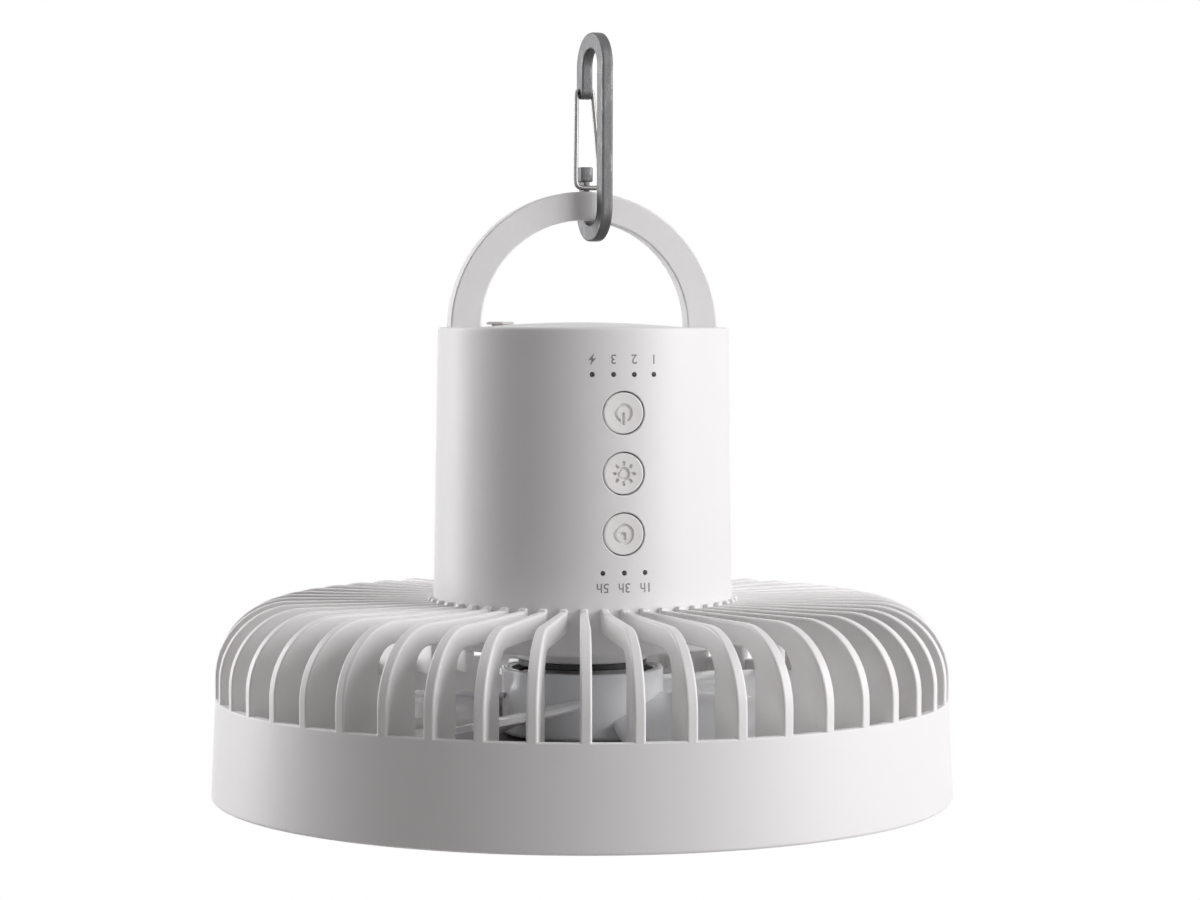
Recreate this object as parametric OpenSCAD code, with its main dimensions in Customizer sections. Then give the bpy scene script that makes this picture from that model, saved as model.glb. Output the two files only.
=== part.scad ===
// Portable camping fan with a lamp in its face, hanging from a folding handle and a snap hook.
// Millimetres, +Z up. Z = 0 is the front rim, on which the fan stands. The button panel faces -Y,
// the handle's hinge line runs along X, and the Z axis is the rotor's axis.

/* [Guard] */
// Outer radius of the front rim
rim_r = 95; // [88:0.5:105]
// How much the skirt narrows towards the ribs, on the radius
skirt_draft = 1.1; // [0.4:0.1:2]
// Height of the plain skirt
skirt_h = 25.5; // [22:0.5:30]
// Wall of the skirt
skirt_wall = 2.4; // [1.8:0.1:3]
// Height of the ribs' flat top above the front rim
guard_h = 50; // [48:0.5:58]
// Radius of the ribs' outer shoulder
shoulder_r = 19; // [12:0.5:22]
// Number of ribs, a multiple of four so that one faces the panel
rib_count = 48; // [36:4:56]
// Width of a rib at the skirt
rib_w_out = 2.75; // [2:0.05:3.2]
// Width of a rib at the body
rib_w_in = 2; // [1.4:0.05:2.4]
// Radial depth of a rib's upright leg
rib_leg = 12.6; // [8:0.2:14]
// Height of a rib's level bar
rib_bar = 5.5; // [4:0.1:6]
// Radius of the inner corner between leg and bar
rib_corner = 6.2; // [3:0.1:8]
// How far a rib's foot reaches down behind the skirt
rib_foot = 3.5; // [1:0.5:6]
// How far the collar hangs below the ribs' flat top
collar_drop = 11.1; // [9:0.1:12]
// Depth of the collar's floor below the ribs' flat top
floor_drop = 3.5; // [3:0.1:4]
// Thickness of the collar's floor
floor_t = 2.5; // [2:0.1:3]

/* [Front grille] */
// Height of the grille's face above the front rim
grille_z = 1.5; // [1:0.1:2.5]
// Thickness of the grille
grille_t = 4; // [3:0.2:5]
// Radial width of the grille's outer ring
grille_band = 6; // [4:0.5:8]
// Number of radial bars in the grille
grille_bars = 48; // [36:4:56]
// Width of a grille bar
grille_bar_w = 1.7; // [1.2:0.1:2.2]
// Radial width of the grille's thin rings
grille_ring_w = 2; // [1.5:0.1:3]
// Wall of the ring that holds the lamp
lamp_seat_wall = 2.6; // [2:0.1:4]
// Number of screws that hold the grille
grille_screw_count = 4; // [3:1:6]

/* [Lamp] */
// Outer radius of the lamp housing
lamp_r = 33; // [28:0.5:36]
// Wall of the lamp housing
lamp_wall = 2; // [1.5:0.1:2.5]
// Height of the lamp housing's back above the front rim, in a guard of the usual height
lamp_back_h = 15; // [14:0.1:15.2]
// Thickness of the diffuser's rim
diffuser_t = 1.5; // [1.2:0.1:1.8]
// Number of light-emitting chips on the lamp board
chip_count = 18; // [12:1:24]
// Radius of the ring of chips
chip_ring_r = 21; // [18:0.5:24]

/* [Rotor] */
// Outer radius of the rotor hub
hub_r = 20.8; // [20.4:0.1:23]
// Height of the hub's rear rim above the front rim, in a guard of the usual height
hub_top_h = 32.5; // [32:0.1:33.5]
// Height of the hub's front face above the front rim, in a guard of the usual height
hub_front_h = 16.5; // [16.4:0.1:17]
// Thickness of the hub's front plate
hub_plate_t = 2; // [1.6:0.1:2.2]
// Wall of the hub
hub_wall = 1.4; // [1.2:0.1:1.6]
// Radius at the blade tips
blade_tip_r = 75; // [66:0.5:78]
// Number of blades
blade_count = 5; // [3:1:7]
// Greatest chord of a blade
blade_chord = 36; // [24:1:40]
// Radius of a blade's curved edges, in plan
blade_edge_r = 62; // [50:1:90]
// Thickness of a blade
blade_t = 1.6; // [1.2:0.1:2.2]
// Radius of a blade's curved section
blade_camber_r = 60; // [45:1:120]
// Pitch of the blades, in degrees
blade_pitch = 20; // [10:1:20]
// Turn of the rotor at rest, in degrees
rotor_phase = -62; // [-180:1:180]

/* [Motor] */
// Radius of the fixed hollow shaft
shaft_r = 4; // [3.6:0.1:4.2]
// Radius of the shaft's bore
shaft_bore_r = 2.6; // [2:0.1:2.8]
// Outer radius of the bearings
bearing_r = 8; // [7.6:0.1:8.2]
// Width of a bearing
bearing_w = 4; // [3.5:0.1:4.4]
// Free length between the two bearings
bearing_gap = 3.5; // [2.5:0.1:4]
// Wall of the rotor tube that holds the bearings
boss_wall = 1.6; // [1.4:0.1:1.8]
// Wall of the mount tube that carries the stator
mount_tube_wall = 1.6; // [1.4:0.1:1.8]
// Radius of the motor mount
mount_r = 16.8; // [16.6:0.1:18]
// Radius of the black motor board
motor_board_r = 16.5; // [15:0.1:16.5]
// Thickness of every circuit board
board_t = 1.6; // [1:0.1:2]
// Radius over the stator's teeth
stator_r = 16.3; // [15.6:0.1:16.4]
// Number of stator teeth and coils
tooth_count = 9; // [6:3:12]
// Height of the stator core
stator_h = 9; // [7:0.5:10]
// Air gap between the stator and the magnet
air_gap = 0.6; // [0.4:0.1:0.8]
// Thickness of the ring magnet
magnet_t = 1.3; // [1:0.1:1.5]

/* [Body] */
// Outer radius of the body at its foot
body_r = 38.33; // [37.5:0.05:41]
// How much the body narrows over its length, on the radius
body_draft = 1.06; // [0.4:0.02:1.4]
// Length of the body above the guard
body_h = 69.6; // [69:0.2:80]
// Wall of the body at its end rim
body_wall = 1.17; // [1:0.01:1.8]
// Radius of the rounded end rim
rim_round = 0.9; // [0.4:0.1:1]

/* [End cap] */
// Radius of the raised middle of the end cap, in a body of the usual radius
cap_mid_r = 26.6; // [25.8:0.1:27]
// Height of the cap's crown above the body's end rim
cap_crown = 1.3; // [0.6:0.1:1.5]
// Depth of the handle's channel below the body's end rim
channel_d = 4.3; // [4.1:0.1:5]
// Wall of the end cap
cap_wall = 2; // [1.6:0.1:2.2]
// Length of the charging-port flap
flap_l = 10.5; // [10:0.1:12]
// Width of the charging-port flap
flap_w = 4.4; // [4.2:0.1:5]
// Height of the flap's top above the body's end rim
flap_top = 1.4; // [1.2:0.1:2]
// Distance of the flap's middle from the axis, in a body of the usual radius
port_r = 22.2; // [21.5:0.1:22.4]
// Turn of the charging port from the left-hand hinge towards the back, in degrees
flap_turn = 30; // [28:1:40]

/* [Handle] */
// Thickness of the handle across its loop
handle_t = 4.8; // [4:0.1:5]
// Outer radius of the handle's arch, in a body of the usual radius
arch_r = 35.4; // [34.6:0.1:35.4]
// Inner radius of the handle's arch, in a body of the usual radius
arch_in_r = 27.3; // [27.2:0.1:28.5]
// Rise of the outer arch's centre above the hinge line
handle_rise = 0.5; // [0:0.1:0.5]
// Rise of the inner arch's centre above the hinge line
handle_in_rise = 1.3; // [0.4:0.1:2]
// Depth of the hinge line below the body's end rim
hinge_drop = 1.3; // [1.1:0.1:1.5]
// Radius of the hinge pins
pin_r = 1; // [0.8:0.05:1.1]
// Length of a hinge pin
pin_l = 13.5; // [12:0.5:14]

/* [Snap hook] */
// Length of the snap hook
hook_l = 53.3; // [46:0.1:70]
// Width of the snap hook, from its spine to its gate
hook_w = 18.3; // [18:0.1:24]
// Width of the hook's bar in its own plane
hook_bar = 4.2; // [3.8:0.1:4.4]
// Thickness of the hook
hook_t = 3; // [2.4:0.1:3.6]
// Inner corner radius of the hook
hook_in_r = 2.2; // [1.5:0.1:2.2]
// Offset of the hook along the handle, from its middle
hook_x = 2.9; // [0:0.1:3.5]
// Turn of the hook about the vertical, in degrees
hook_yaw = 6; // [0:1:8]
// Length of the wire gate
gate_l = 25; // [22:0.5:28]
// Radius of the gate's wire
wire_r = 0.55; // [0.4:0.05:0.7]
// Distance of the gate's hinge from the hook's far end
gate_hinge_d = 14.4; // [13:0.2:16]
// Distance between the gate's wires
gate_w = 6.6; // [6:0.1:8]

/* [Buttons] */
// Radius of a button cap
button_r = 5.1; // [4.5:0.05:5.5]
// Gap round a button cap
button_gap = 0.28; // [0.2:0.02:0.4]
// Height of the middle button above the guard
button_rise = 33.75; // [30:0.25:38]
// Distance between buttons
button_pitch = 14.85; // [14:0.05:16]
// Travel of a button
button_travel = 0.7; // [0.4:0.1:0.8]
// Depth of the marks in the button caps
mark_d = 0.25; // [0.15:0.05:0.4]
// Radius of an indicator light
light_r = 0.5; // [0.4:0.05:0.8]
// Angle between indicator lights, in degrees
light_step = 8.1; // [7:0.1:9]
// Depth of the upper row of indicator lights below the body's end rim
upper_row_d = 11.6; // [10.6:0.1:12.6]
// Height of the lower row of indicator lights above the guard
lower_row_rise = 9.4; // [8:0.1:12]

/* [Battery] */
// Radius of a battery cell, in a body of the usual radius
battery_r = 9.2; // [9:0.05:9.3]
// Length of a battery cell
cell_l = 65; // [60:0.5:65]
// Distance of the cells from the middle of their group, in a body of the usual radius
battery_ring_r = 12.2; // [12:0.1:12.6]
// Shift of the group of cells away from the panel, in a body of the usual radius
battery_shift = 3; // [2.8:0.1:3.2]
// Thickness of the battery cage's floor
cage_floor_t = 1.5; // [1.2:0.1:1.6]
// Gap between the battery cage and the body's bore
cage_gap = 12.1; // [12.1:0.1:12.5]

/* [Hidden] */
$fn = 96;

// Small working values
eps = 0.01;
fit = 0.05;
screw_way = 0.2;
run = 0.3;
guard_usual_h = 50;
depth_scale = guard_h / guard_usual_h;
body_usual_r = 38.33;
body_scale = body_r / body_usual_r;

// Guard
rib_r = rim_r - skirt_draft;
rib_step = 360 / rib_count;
body_bore_r = body_r - body_draft - body_wall;
collar_z = guard_h - collar_drop;
floor_top = guard_h - floor_drop;
floor_z = floor_top - floor_t;
collar_flare = 0.1;
skirt_in_r = rim_r - skirt_wall;
rim_chamfer = 0.6;

// Screws, all with the same proportions
screw_r = 1.3;
screw_head_r = 2.6;
screw_head_h = 1.5;
small_screw_r = 1;
small_head_r = 1.9;
small_head_h = 1.2;

// Front grille
grille_r = skirt_in_r - 0.6;
grille_top = grille_z + grille_t;
grille_screw_ring = grille_r - grille_band / 2;
grille_boss_r = 3.2;
grille_boss_h = 8;
grille_screw_l = 9;
lamp_seat_r = lamp_r + lamp_seat_wall;
grille_gap_r = (grille_r - grille_band - lamp_seat_r) / 3;
lamp_seat_h = 6;

// Lamp
lamp_back_z = lamp_back_h * depth_scale;
lamp_front_z = grille_z - 0.5 + diffuser_t;
lamp_bore_r = lamp_r - lamp_wall;
lamp_board_top = lamp_back_z - lamp_wall;
lamp_board_z = lamp_board_top - board_t;
lamp_boss_r = shaft_r + 3;
chip_h = 0.7;
chip_l = 3.5;
chip_w = 2.8;
lamp_screw_ring = 13;
lamp_screw_count = 3;
lamp_screw_l = board_t + 1.1;
lead_r = 1.1;

// Rotor and motor, from the front to the back
hub_front_z = hub_front_h * depth_scale;
hub_top_z = hub_top_h * depth_scale;
shaft_z = lamp_board_top - 1.5;
hub_plate_top = hub_front_z + hub_plate_t;
boss_r = bearing_r + boss_wall;
bearing_2_z = hub_plate_top + bearing_w + bearing_gap;
boss_top = bearing_2_z + bearing_w;
clip_r = shaft_r + 2;
clip_t = 0.9;
plate_hole_r = clip_r + 0.4;
mount_tube_in_r = boss_r + 0.8;
mount_tube_r = mount_tube_in_r + mount_tube_wall;
mount_tube_z = hub_plate_top + 1;
mount_z = hub_top_z + 2.1;
mount_web_z = mount_z + 1.4;
motor_board_z = mount_z - board_t;
magnet_in_r = stator_r + air_gap;
magnet_r = magnet_in_r + magnet_t;
ring_r = hub_r - hub_wall;
ring_z = hub_plate_top;
ring_top = hub_top_z - 0.2;
magnet_z = ring_z + 1.5;
magnet_top = ring_top - 1.2;
stator_z = (magnet_z + magnet_top - stator_h) / 2;
tooth_w = 2.6;
yoke_t = 1.4;
tooth_tip_t = 0.7;
coil_h = stator_h + 2;
motor_screw_ring = (mount_tube_r + mount_r) / 2;
motor_screw_l = 6;
motor_screw_count = 3;
motor_screw_start = 90;
shaft_top = floor_z + 1;
blade_drop = 2.4;
blade_mid_z = (hub_front_z + hub_top_z) / 2 - blade_drop;
blade_root_r = hub_r - hub_wall / 2;
blade_flat_z = lamp_back_z + 1.3;
blade_rise = 4;
blade_wide_r = (blade_root_r + blade_tip_r) / 2 + 2;
blade_sweep = 4;

// Body
body_top = guard_h + body_h;
body_top_r = body_r - body_draft;
function body_r_at(z) = body_r - body_draft * (z - guard_h) / body_h;
wall_sink = 0.5;
body_boss_r = 3.2;
body_boss_ring = body_bore_r - body_boss_r - 0.6;
body_boss_h = 10;
body_screw_l = 14;
body_screw_count = 4;
ledge_w = 1.9;
ledge_t = 2.5;
lug_w = 8;
lug_t = 3;
lug_l = 6.5;

// End cap
cap_r = cap_mid_r * body_scale;
channel_z = body_top - channel_d;
channel_floor_z = channel_z - cap_wall;
cap_skirt_h = 2.8;
ledge_top = channel_floor_z - cap_skirt_h;
crown_sphere_r = (cap_r * cap_r + cap_crown * cap_crown) / (2 * cap_crown);
cap_roof_z = body_top - 0.7;
cap_screw_ring = body_bore_r - 4.1;
cap_boss_r = 3;
cap_screw_l = 6.5;
cap_screw_count = 3;
hinge_z = body_top - hinge_drop;
hinge_boss_w = 8;
hinge_boss_l = 7;

// Charging port
flap_r = port_r * body_scale;
flap_hinge_r = flap_r - flap_w / 2 - 0.2;
flap_z = body_top + 0.6;
socket_l = 9;
socket_w = 3.2;
socket_gap = 0.15;
socket_way_h = flap_z + 3 - channel_floor_z;
plug_l = 7.6;
plug_w = 2.3;
plug_d = 1;
charge_board_top = channel_floor_z - 1.3;
charge_board_z = charge_board_top - board_t;
charge_board_in = flap_r - 4;
charge_board_out = body_bore_r - 4.1;
charge_board_w = 18;
charge_post_x = body_bore_r - 7.6;
charge_post_y = 6;
charge_post_r = 2;

// Handle
handle_r = arch_r * body_scale;
handle_in_r = arch_in_r * body_scale;
leg_in_x = sqrt(handle_in_r * handle_in_r - handle_in_rise * handle_in_rise);
handle_apex = hinge_z + handle_rise + handle_r;
handle_in_apex = hinge_z + handle_in_rise + handle_in_r;
pin_reach = 6.7;
pin_in_x = leg_in_x + pin_reach - pin_l;
pin_out_x = pin_in_x + pin_l;

// Snap hook
hook_axis_z = (handle_apex + handle_in_apex) / 2;
handle_half = sqrt(pow(handle_t / 2, 2) + pow((handle_apex - handle_in_apex) / 2, 2));
hook_play = 0.4;
hook_in_z = hook_axis_z - handle_half - hook_play;
hook_z = hook_in_z - hook_bar;
hook_top = hook_z + hook_l;
hook_in_w = hook_w - 2 * hook_bar;
hook_out_r = hook_in_r + hook_bar;
gate_z = hook_top - gate_hinge_d;
gate_mid_y = hook_w / 2 - hook_bar / 2;
gate_end_y = hook_in_w / 2 - wire_r - 0.1;
nose_l = 5.4;
nose_top = gate_z - gate_l + nose_l;
gate_boss_r = hook_bar / 2;
gate_bend = 1.2;

// Buttons and their board
button_z = guard_h + button_rise;
upper_row_z = body_top - upper_row_d;
lower_row_z = guard_h + lower_row_rise;
button_hole_r = button_r + button_gap;
function button_face_y(z) = sqrt(pow(body_r_at(z), 2) - pow(button_hole_r, 2));
flange_r = button_r + 1.2;
flange_t = 1;
flange_y = sqrt(body_bore_r * body_bore_r - flange_r * flange_r) - run;
stem_r = 2;
stem_l = 2.6;
plunger_r = 1.6;
plunger_y = flange_y - flange_t - stem_l;
plunger_l = 1.2;
switch_y = plunger_y - button_travel - 0.1;
switch_w = 6;
switch_h = 3.5;
control_board_y = switch_y - switch_h;
control_board_w = 28;
control_board_margin = 4.6;
control_board_z = lower_row_z - control_board_margin;
control_board_top = upper_row_z + control_board_margin;
board_post_x = control_board_w / 2 - 2.6;
board_post_r = 2;
board_posts_z = [control_board_z + 3, control_board_top - 8];
indicator_chip_h = 0.8;
indicator_chip_l = 1.6;
indicator_chip_w = 1.2;
board_screw_l = 5.6;
button_zs = [button_z + button_pitch, button_z, button_z - button_pitch];
upper_lights = [-1.5, -0.5, 0.5, 1.5];
lower_lights = [-1, 0, 1];

// Battery
cell_r = battery_r * body_scale;
cell_ring_r = battery_ring_r * body_scale;
cell_shift = battery_shift * body_scale;
cage_r = body_bore_r - cage_gap;
cell_z = floor_top + cage_floor_t;
cell_top = cell_z + cell_l;
cell_angles = [90, 210, 330];
cage_post_r = 2;
cage_post_ring = cage_r - 6;
cage_post_x = 8;
cell_hole_r = cell_r + 0.1;
cage_top_h = 56;
cage_top_z = cell_z + cage_top_h;
cage_top_t = 3;
cage_cup_h = 6;
cage_cup_wall = 1.1;
strip_t = 0.3;
strip_w = 6;
wire_way_r = 1.7;
motor_lead_x = 3;
motor_lead_y = -motor_screw_ring;
motor_lead_r = 1.1;
motor_lead_z = cell_z + 10;
lamp_lead_z = cell_z + 6;
battery_lead_y = -15;
battery_lead_r = 0.9;
battery_lead_z = cage_top_z - 6;
function lead_end_y(r) = board_t + r - control_board_y;

// Colours, as the photograph shows them
shell_white = [0.93, 0.93, 0.93];
soft_white = [0.88, 0.88, 0.87];
gloss_white = [0.96, 0.96, 0.97];
steel_grey = [0.52, 0.52, 0.53];
dark_steel = [0.35, 0.35, 0.36];
lamp_black = [0.06, 0.06, 0.06];
board_green = [0.08, 0.32, 0.18];
copper_brown = [0.72, 0.42, 0.22];

// ---- Shared shapes ----

// A disc cut down to a ring, standing on z = 0
module ring(outer, inner, h) {
    difference() {
        cylinder(r = outer, h = h);
        translate([0, 0, -eps]) cylinder(r = inner, h = h + 2 * eps);
    }
}

// A profile from the axis out to r and up to h, with a rounded outer corner
module round_shoulder(r, h, corner) {
    square([r - corner, h]);
    square([r, h - corner]);
    translate([r - corner, h - corner]) circle(corner);
}

// Copies its children count times about the axis, the first one turned by start
module around(count, start = 0) {
    for (k = [0 : count - 1]) rotate(start + k * 360 / count) children();
}

// A screw whose head's upper face is at z = 0 and whose shank runs up from it
module screw(r, l, head_r, head_h) {
    cylinder(r = r, h = l);
    translate([0, 0, -head_h]) cylinder(r = head_r, h = head_h);
}

// A straight length of lead from p to q along one axis, with a round end at q
module lead_run(p, q, r) {
    d = q - p;
    turn = d[2] != 0 ? (d[2] > 0 ? [0, 0, 0] : [180, 0, 0]) : (d[1] < 0 ? [90, 0, 0] : [-90, 0, 0]);
    translate(p) rotate(turn) cylinder(r = r, h = norm(d));
    translate(q) sphere(r = r);
}

// Turns its children from the left-hand hinge to the charging port, with +X pointing outwards
module at_port() {
    rotate(180 - flap_turn) children();
}

// ---- Guard and grille ----

module rib_profile() {
    difference() {
        round_shoulder(rib_r, guard_h, shoulder_r);
        round_shoulder(rib_r - rib_leg, guard_h - rib_bar, rib_corner);
        square([body_bore_r + 0.5, guard_h + 1]);
        square([rib_r + 1, skirt_h - rib_foot]);
    }
}

// Plan of the gap between two ribs
module gap_plan() {
    a = rib_step / 2;
    r0 = body_bore_r;
    r1 = rim_r + 2;
    h0 = rib_w_in / 2;
    h1 = h0 + (rib_w_out - rib_w_in) / 2 * (r1 - r0) / (rib_r - body_r);
    x0 = r0 * cos(a) + h0 * sin(a);
    y0 = r0 * sin(a) - h0 * cos(a);
    x1 = r1 * cos(a) + h1 * sin(a);
    y1 = r1 * sin(a) - h1 * cos(a);
    polygon([[x0, -y0], [x1, -y1], [x1, y1], [x0, y0]]);
}

module guard_ribs() {
    difference() {
        rotate_extrude() rib_profile();
        around(rib_count, -90 + rib_step / 2)
            translate([0, 0, skirt_h - rib_foot - 1])
                linear_extrude(guard_h) gap_plan();
    }
}

module skirt() {
    rotate_extrude()
        polygon([
            [skirt_in_r, 0], [rim_r - rim_chamfer, 0], [rim_r, rim_chamfer],
            [rib_r, skirt_h], [rib_r - skirt_wall, skirt_h]
        ]);
}

module collar() {
    rotate_extrude()
        polygon([
            [body_bore_r, collar_z], [body_r + collar_flare, collar_z],
            [body_r, guard_h], [body_bore_r, guard_h]
        ]);
    difference() {
        translate([0, 0, floor_z]) cylinder(r = body_bore_r + 0.5, h = floor_t);
        translate([0, 0, floor_z - 1]) cylinder(r = shaft_r + 0.5, h = floor_t + 2);
        around(body_screw_count, 45) translate([body_boss_ring, 0, floor_z - 1])
            cylinder(r = screw_r + screw_way, h = floor_t + 2);
        around(motor_screw_count, motor_screw_start) translate([motor_screw_ring, 0, floor_z - 1]) {
            cylinder(r = small_screw_r, h = floor_t + 2);
            translate([0, 0, 1 + floor_t - small_head_h])
                cylinder(r = small_head_r + fit, h = small_head_h + 1);
        }
        translate([motor_lead_x, motor_lead_y, floor_z - 1]) cylinder(r = wire_way_r, h = floor_t + 2);
    }
}

module grille_bosses() {
    around(grille_screw_count, 45) {
        difference() {
            union() {
                translate([grille_screw_ring, 0, grille_top]) cylinder(r = grille_boss_r, h = grille_boss_h);
                translate([grille_screw_ring, -grille_boss_r / 2, grille_top])
                    cube([skirt_in_r - grille_screw_ring + 0.8, grille_boss_r, grille_boss_h]);
            }
            translate([grille_screw_ring, 0, grille_top - 1]) cylinder(r = screw_r, h = grille_boss_h - 0.5);
        }
    }
}

module rear_guard() {
    color(shell_white) {
        guard_ribs();
        skirt();
        collar();
        grille_bosses();
    }
}

module grille_plan() {
    difference() {
        circle(grille_r);
        circle(grille_r - grille_band);
    }
    for (k = [1, 2])
        difference() {
            circle(lamp_seat_r + k * grille_gap_r + grille_ring_w / 2);
            circle(lamp_seat_r + k * grille_gap_r - grille_ring_w / 2);
        }
    around(grille_bars)
        translate([lamp_seat_r - 1, -grille_bar_w / 2])
            square([grille_r - grille_band - lamp_seat_r + 2, grille_bar_w]);
}

module front_grille() {
    color(shell_white)
        difference() {
            union() {
                translate([0, 0, grille_z]) linear_extrude(grille_t) grille_plan();
                translate([0, 0, grille_z]) ring(lamp_seat_r, lamp_r, lamp_seat_h);
            }
            around(grille_screw_count, 45) translate([grille_screw_ring, 0, 0]) {
                cylinder(r = screw_r + screw_way, h = grille_top + 1);
                cylinder(r = screw_head_r + fit, h = grille_z + screw_head_h);
            }
        }
}

module grille_screws() {
    color(steel_grey)
        around(grille_screw_count, 45)
            translate([grille_screw_ring, 0, grille_z + screw_head_h])
                screw(screw_r, grille_screw_l, screw_head_r, screw_head_h);
}

// ---- Lamp ----

module lamp_housing() {
    color(lamp_black)
        difference() {
            union() {
                translate([0, 0, lamp_board_top]) cylinder(r = lamp_r, h = lamp_wall);
                translate([0, 0, lamp_front_z]) ring(lamp_r, lamp_bore_r, lamp_board_top
                    - lamp_front_z + eps);
                translate([0, 0, shaft_z - 1])
                    cylinder(r = lamp_boss_r, h = lamp_board_top - shaft_z + 1 + eps);
            }
            translate([0, 0, shaft_z]) cylinder(r = shaft_r, h = 10);
            translate([0, 0, shaft_z - 2]) cylinder(r = lead_r + 0.3, h = 10);
            around(lamp_screw_count) translate([lamp_screw_ring, 0, lamp_board_top - 1])
                cylinder(r = small_screw_r, h = 2.2);
        }
}

module lamp_board() {
    color([0.9, 0.9, 0.88])
        difference() {
            translate([0, 0, lamp_board_z]) cylinder(r = lamp_bore_r - 0.4, h = board_t);
            translate([0, 0, lamp_board_z - 1]) cylinder(r = lamp_boss_r + 0.3, h = board_t + 2);
            around(lamp_screw_count) translate([lamp_screw_ring, 0, lamp_board_z - 1])
                cylinder(r = small_screw_r + 0.1, h = 4);
        }
}

module lamp_chips() {
    color([0.95, 0.85, 0.35])
        around(chip_count)
            translate([chip_ring_r - chip_l / 2, -chip_w / 2, lamp_board_z - chip_h])
                cube([chip_l, chip_w, chip_h]);
}

module lamp_reflector() {
    z0 = lamp_front_z + 1.5;
    z1 = lamp_board_z - chip_h - 0.2;
    color(gloss_white)
        rotate_extrude()
            polygon([
                [lamp_bore_r - fit, z0], [lamp_bore_r - fit, z1 - 0.6],
                [chip_ring_r + chip_l / 2 + 1, z1], [chip_ring_r + chip_l / 2 + 1, z1 - 1],
                    [lamp_bore_r - 1.4, z0]
            ]);
}

module lamp_diffuser() {
    color([0.97, 0.97, 0.95]) {
        translate([0, 0, lamp_front_z - diffuser_t]) cylinder(r = lamp_r - 0.1, h = diffuser_t);
        translate([0, 0, lamp_front_z - eps]) cylinder(r = lamp_bore_r - 0.1, h = 1.5 + eps);
    }
}

module lamp_screws() {
    color(steel_grey)
        around(lamp_screw_count)
            translate([lamp_screw_ring, 0, lamp_board_z])
                screw(small_screw_r, lamp_screw_l, small_head_r, small_head_h);
}

module lamp_lead() {
    color(lamp_black) {
        lead_run([0, 0, shaft_z - 0.6], [0, 0, lamp_lead_z], lead_r);
        lead_run([0, 0, lamp_lead_z], [0, lead_end_y(lead_r), lamp_lead_z], lead_r);
    }
}

// ---- Rotor ----

// Plan of a blade along +X: wide in the middle, with a curved edge on either side
module blade_plan() {
    intersection() {
        translate([blade_wide_r - blade_sweep, blade_chord / 2 - blade_edge_r]) circle(blade_edge_r);
        translate([blade_wide_r + blade_sweep, blade_edge_r - blade_chord / 2]) circle(blade_edge_r);
    }
}

// One blade along +X: a cambered section of even thickness, pitched and cut to its plan and radii
module blade() {
    outer = blade_camber_r;
    intersection() {
        translate([0, 0, blade_mid_z])
            rotate([blade_pitch, 0, 0])
                rotate([90, 0, 90])
                    linear_extrude(blade_tip_r + 2)
                        intersection() {
                            translate([0, -outer + blade_t])
                                difference() {
                                    circle(outer);
                                    circle(outer - blade_t);
                                }
                            translate([-blade_chord / 2, -blade_chord / 2])
                                square([blade_chord, blade_chord]);
                        }
        translate([0, 0, blade_flat_z]) ring(blade_tip_r, blade_root_r, hub_top_z
            - blade_flat_z + blade_rise);
        linear_extrude(guard_h) blade_plan();
    }
}

module fan_rotor() {
    color(gloss_white) {
        difference() {
            translate([0, 0, hub_front_z]) cylinder(r = hub_r, h = hub_top_z - hub_front_z);
            translate([0, 0, hub_plate_top]) cylinder(r = ring_r, h = hub_top_z);
            translate([0, 0, hub_front_z - 1]) cylinder(r = plate_hole_r, h = hub_plate_t + 2);
        }
        translate([0, 0, hub_plate_top - eps]) ring(boss_r, bearing_r, boss_top - hub_plate_top + eps);
        around(blade_count, rotor_phase) blade();
    }
}

module rotor_ring() {
    color(dark_steel)
        difference() {
            translate([0, 0, ring_z]) cylinder(r = ring_r, h = ring_top - ring_z);
            translate([0, 0, ring_z - 1]) cylinder(r = magnet_r, h = ring_top);
        }
}

module ring_magnet() {
    color([0.2, 0.2, 0.21])
        translate([0, 0, magnet_z]) ring(magnet_r, magnet_in_r, magnet_top - magnet_z);
}

module bearings() {
    color(steel_grey)
        for (z = [hub_plate_top, bearing_2_z])
            translate([0, 0, z])
                difference() {
                    ring(bearing_r, shaft_r + 0.03, bearing_w);
                    translate([0, 0, -eps]) ring(bearing_r - 1, shaft_r + 1, 0.3);
                    translate([0, 0, bearing_w - 0.3]) ring(bearing_r - 1, shaft_r + 1, 1);
                }
}

module bearing_spacer() {
    color(steel_grey)
        translate([0, 0, hub_plate_top + bearing_w]) ring(bearing_r, bearing_r - 1.2, bearing_gap);
}

// ---- Motor, fixed ----

module motor_shaft() {
    color(steel_grey)
        translate([0, 0, shaft_z]) ring(shaft_r, shaft_bore_r, shaft_top - shaft_z);
}

module shaft_sleeve() {
    color(steel_grey)
        translate([0, 0, boss_top + run]) ring(shaft_r + 2.2, shaft_r, mount_web_z - boss_top - run);
}

module shaft_clip() {
    color(dark_steel)
        translate([0, 0, hub_plate_top - run - clip_t])
            difference() {
                ring(clip_r, shaft_r, clip_t);
                translate([0, -0.8, -1]) cube([clip_r + 1, 1.6, clip_t + 2]);
            }
}

module motor_mount() {
    color(soft_white)
        difference() {
            union() {
                translate([0, 0, mount_z]) cylinder(r = mount_r, h = floor_z - mount_z);
                translate([0, 0, mount_tube_z]) cylinder(r = mount_tube_r, h = mount_z - mount_tube_z + eps);
            }
            translate([0, 0, mount_tube_z - 1])
                cylinder(r = mount_tube_in_r, h = mount_web_z - mount_tube_z + 1);
            cylinder(r = shaft_r, h = floor_z + 1);
            around(motor_screw_count, motor_screw_start)
                translate([motor_screw_ring, 0, floor_top - motor_screw_l])
                    cylinder(r = small_screw_r, h = motor_screw_l + 1);
            translate([motor_lead_x, motor_lead_y, mount_z - 1])
                cylinder(r = motor_lead_r + 0.2, h = floor_z - mount_z + 2);
        }
}

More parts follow.
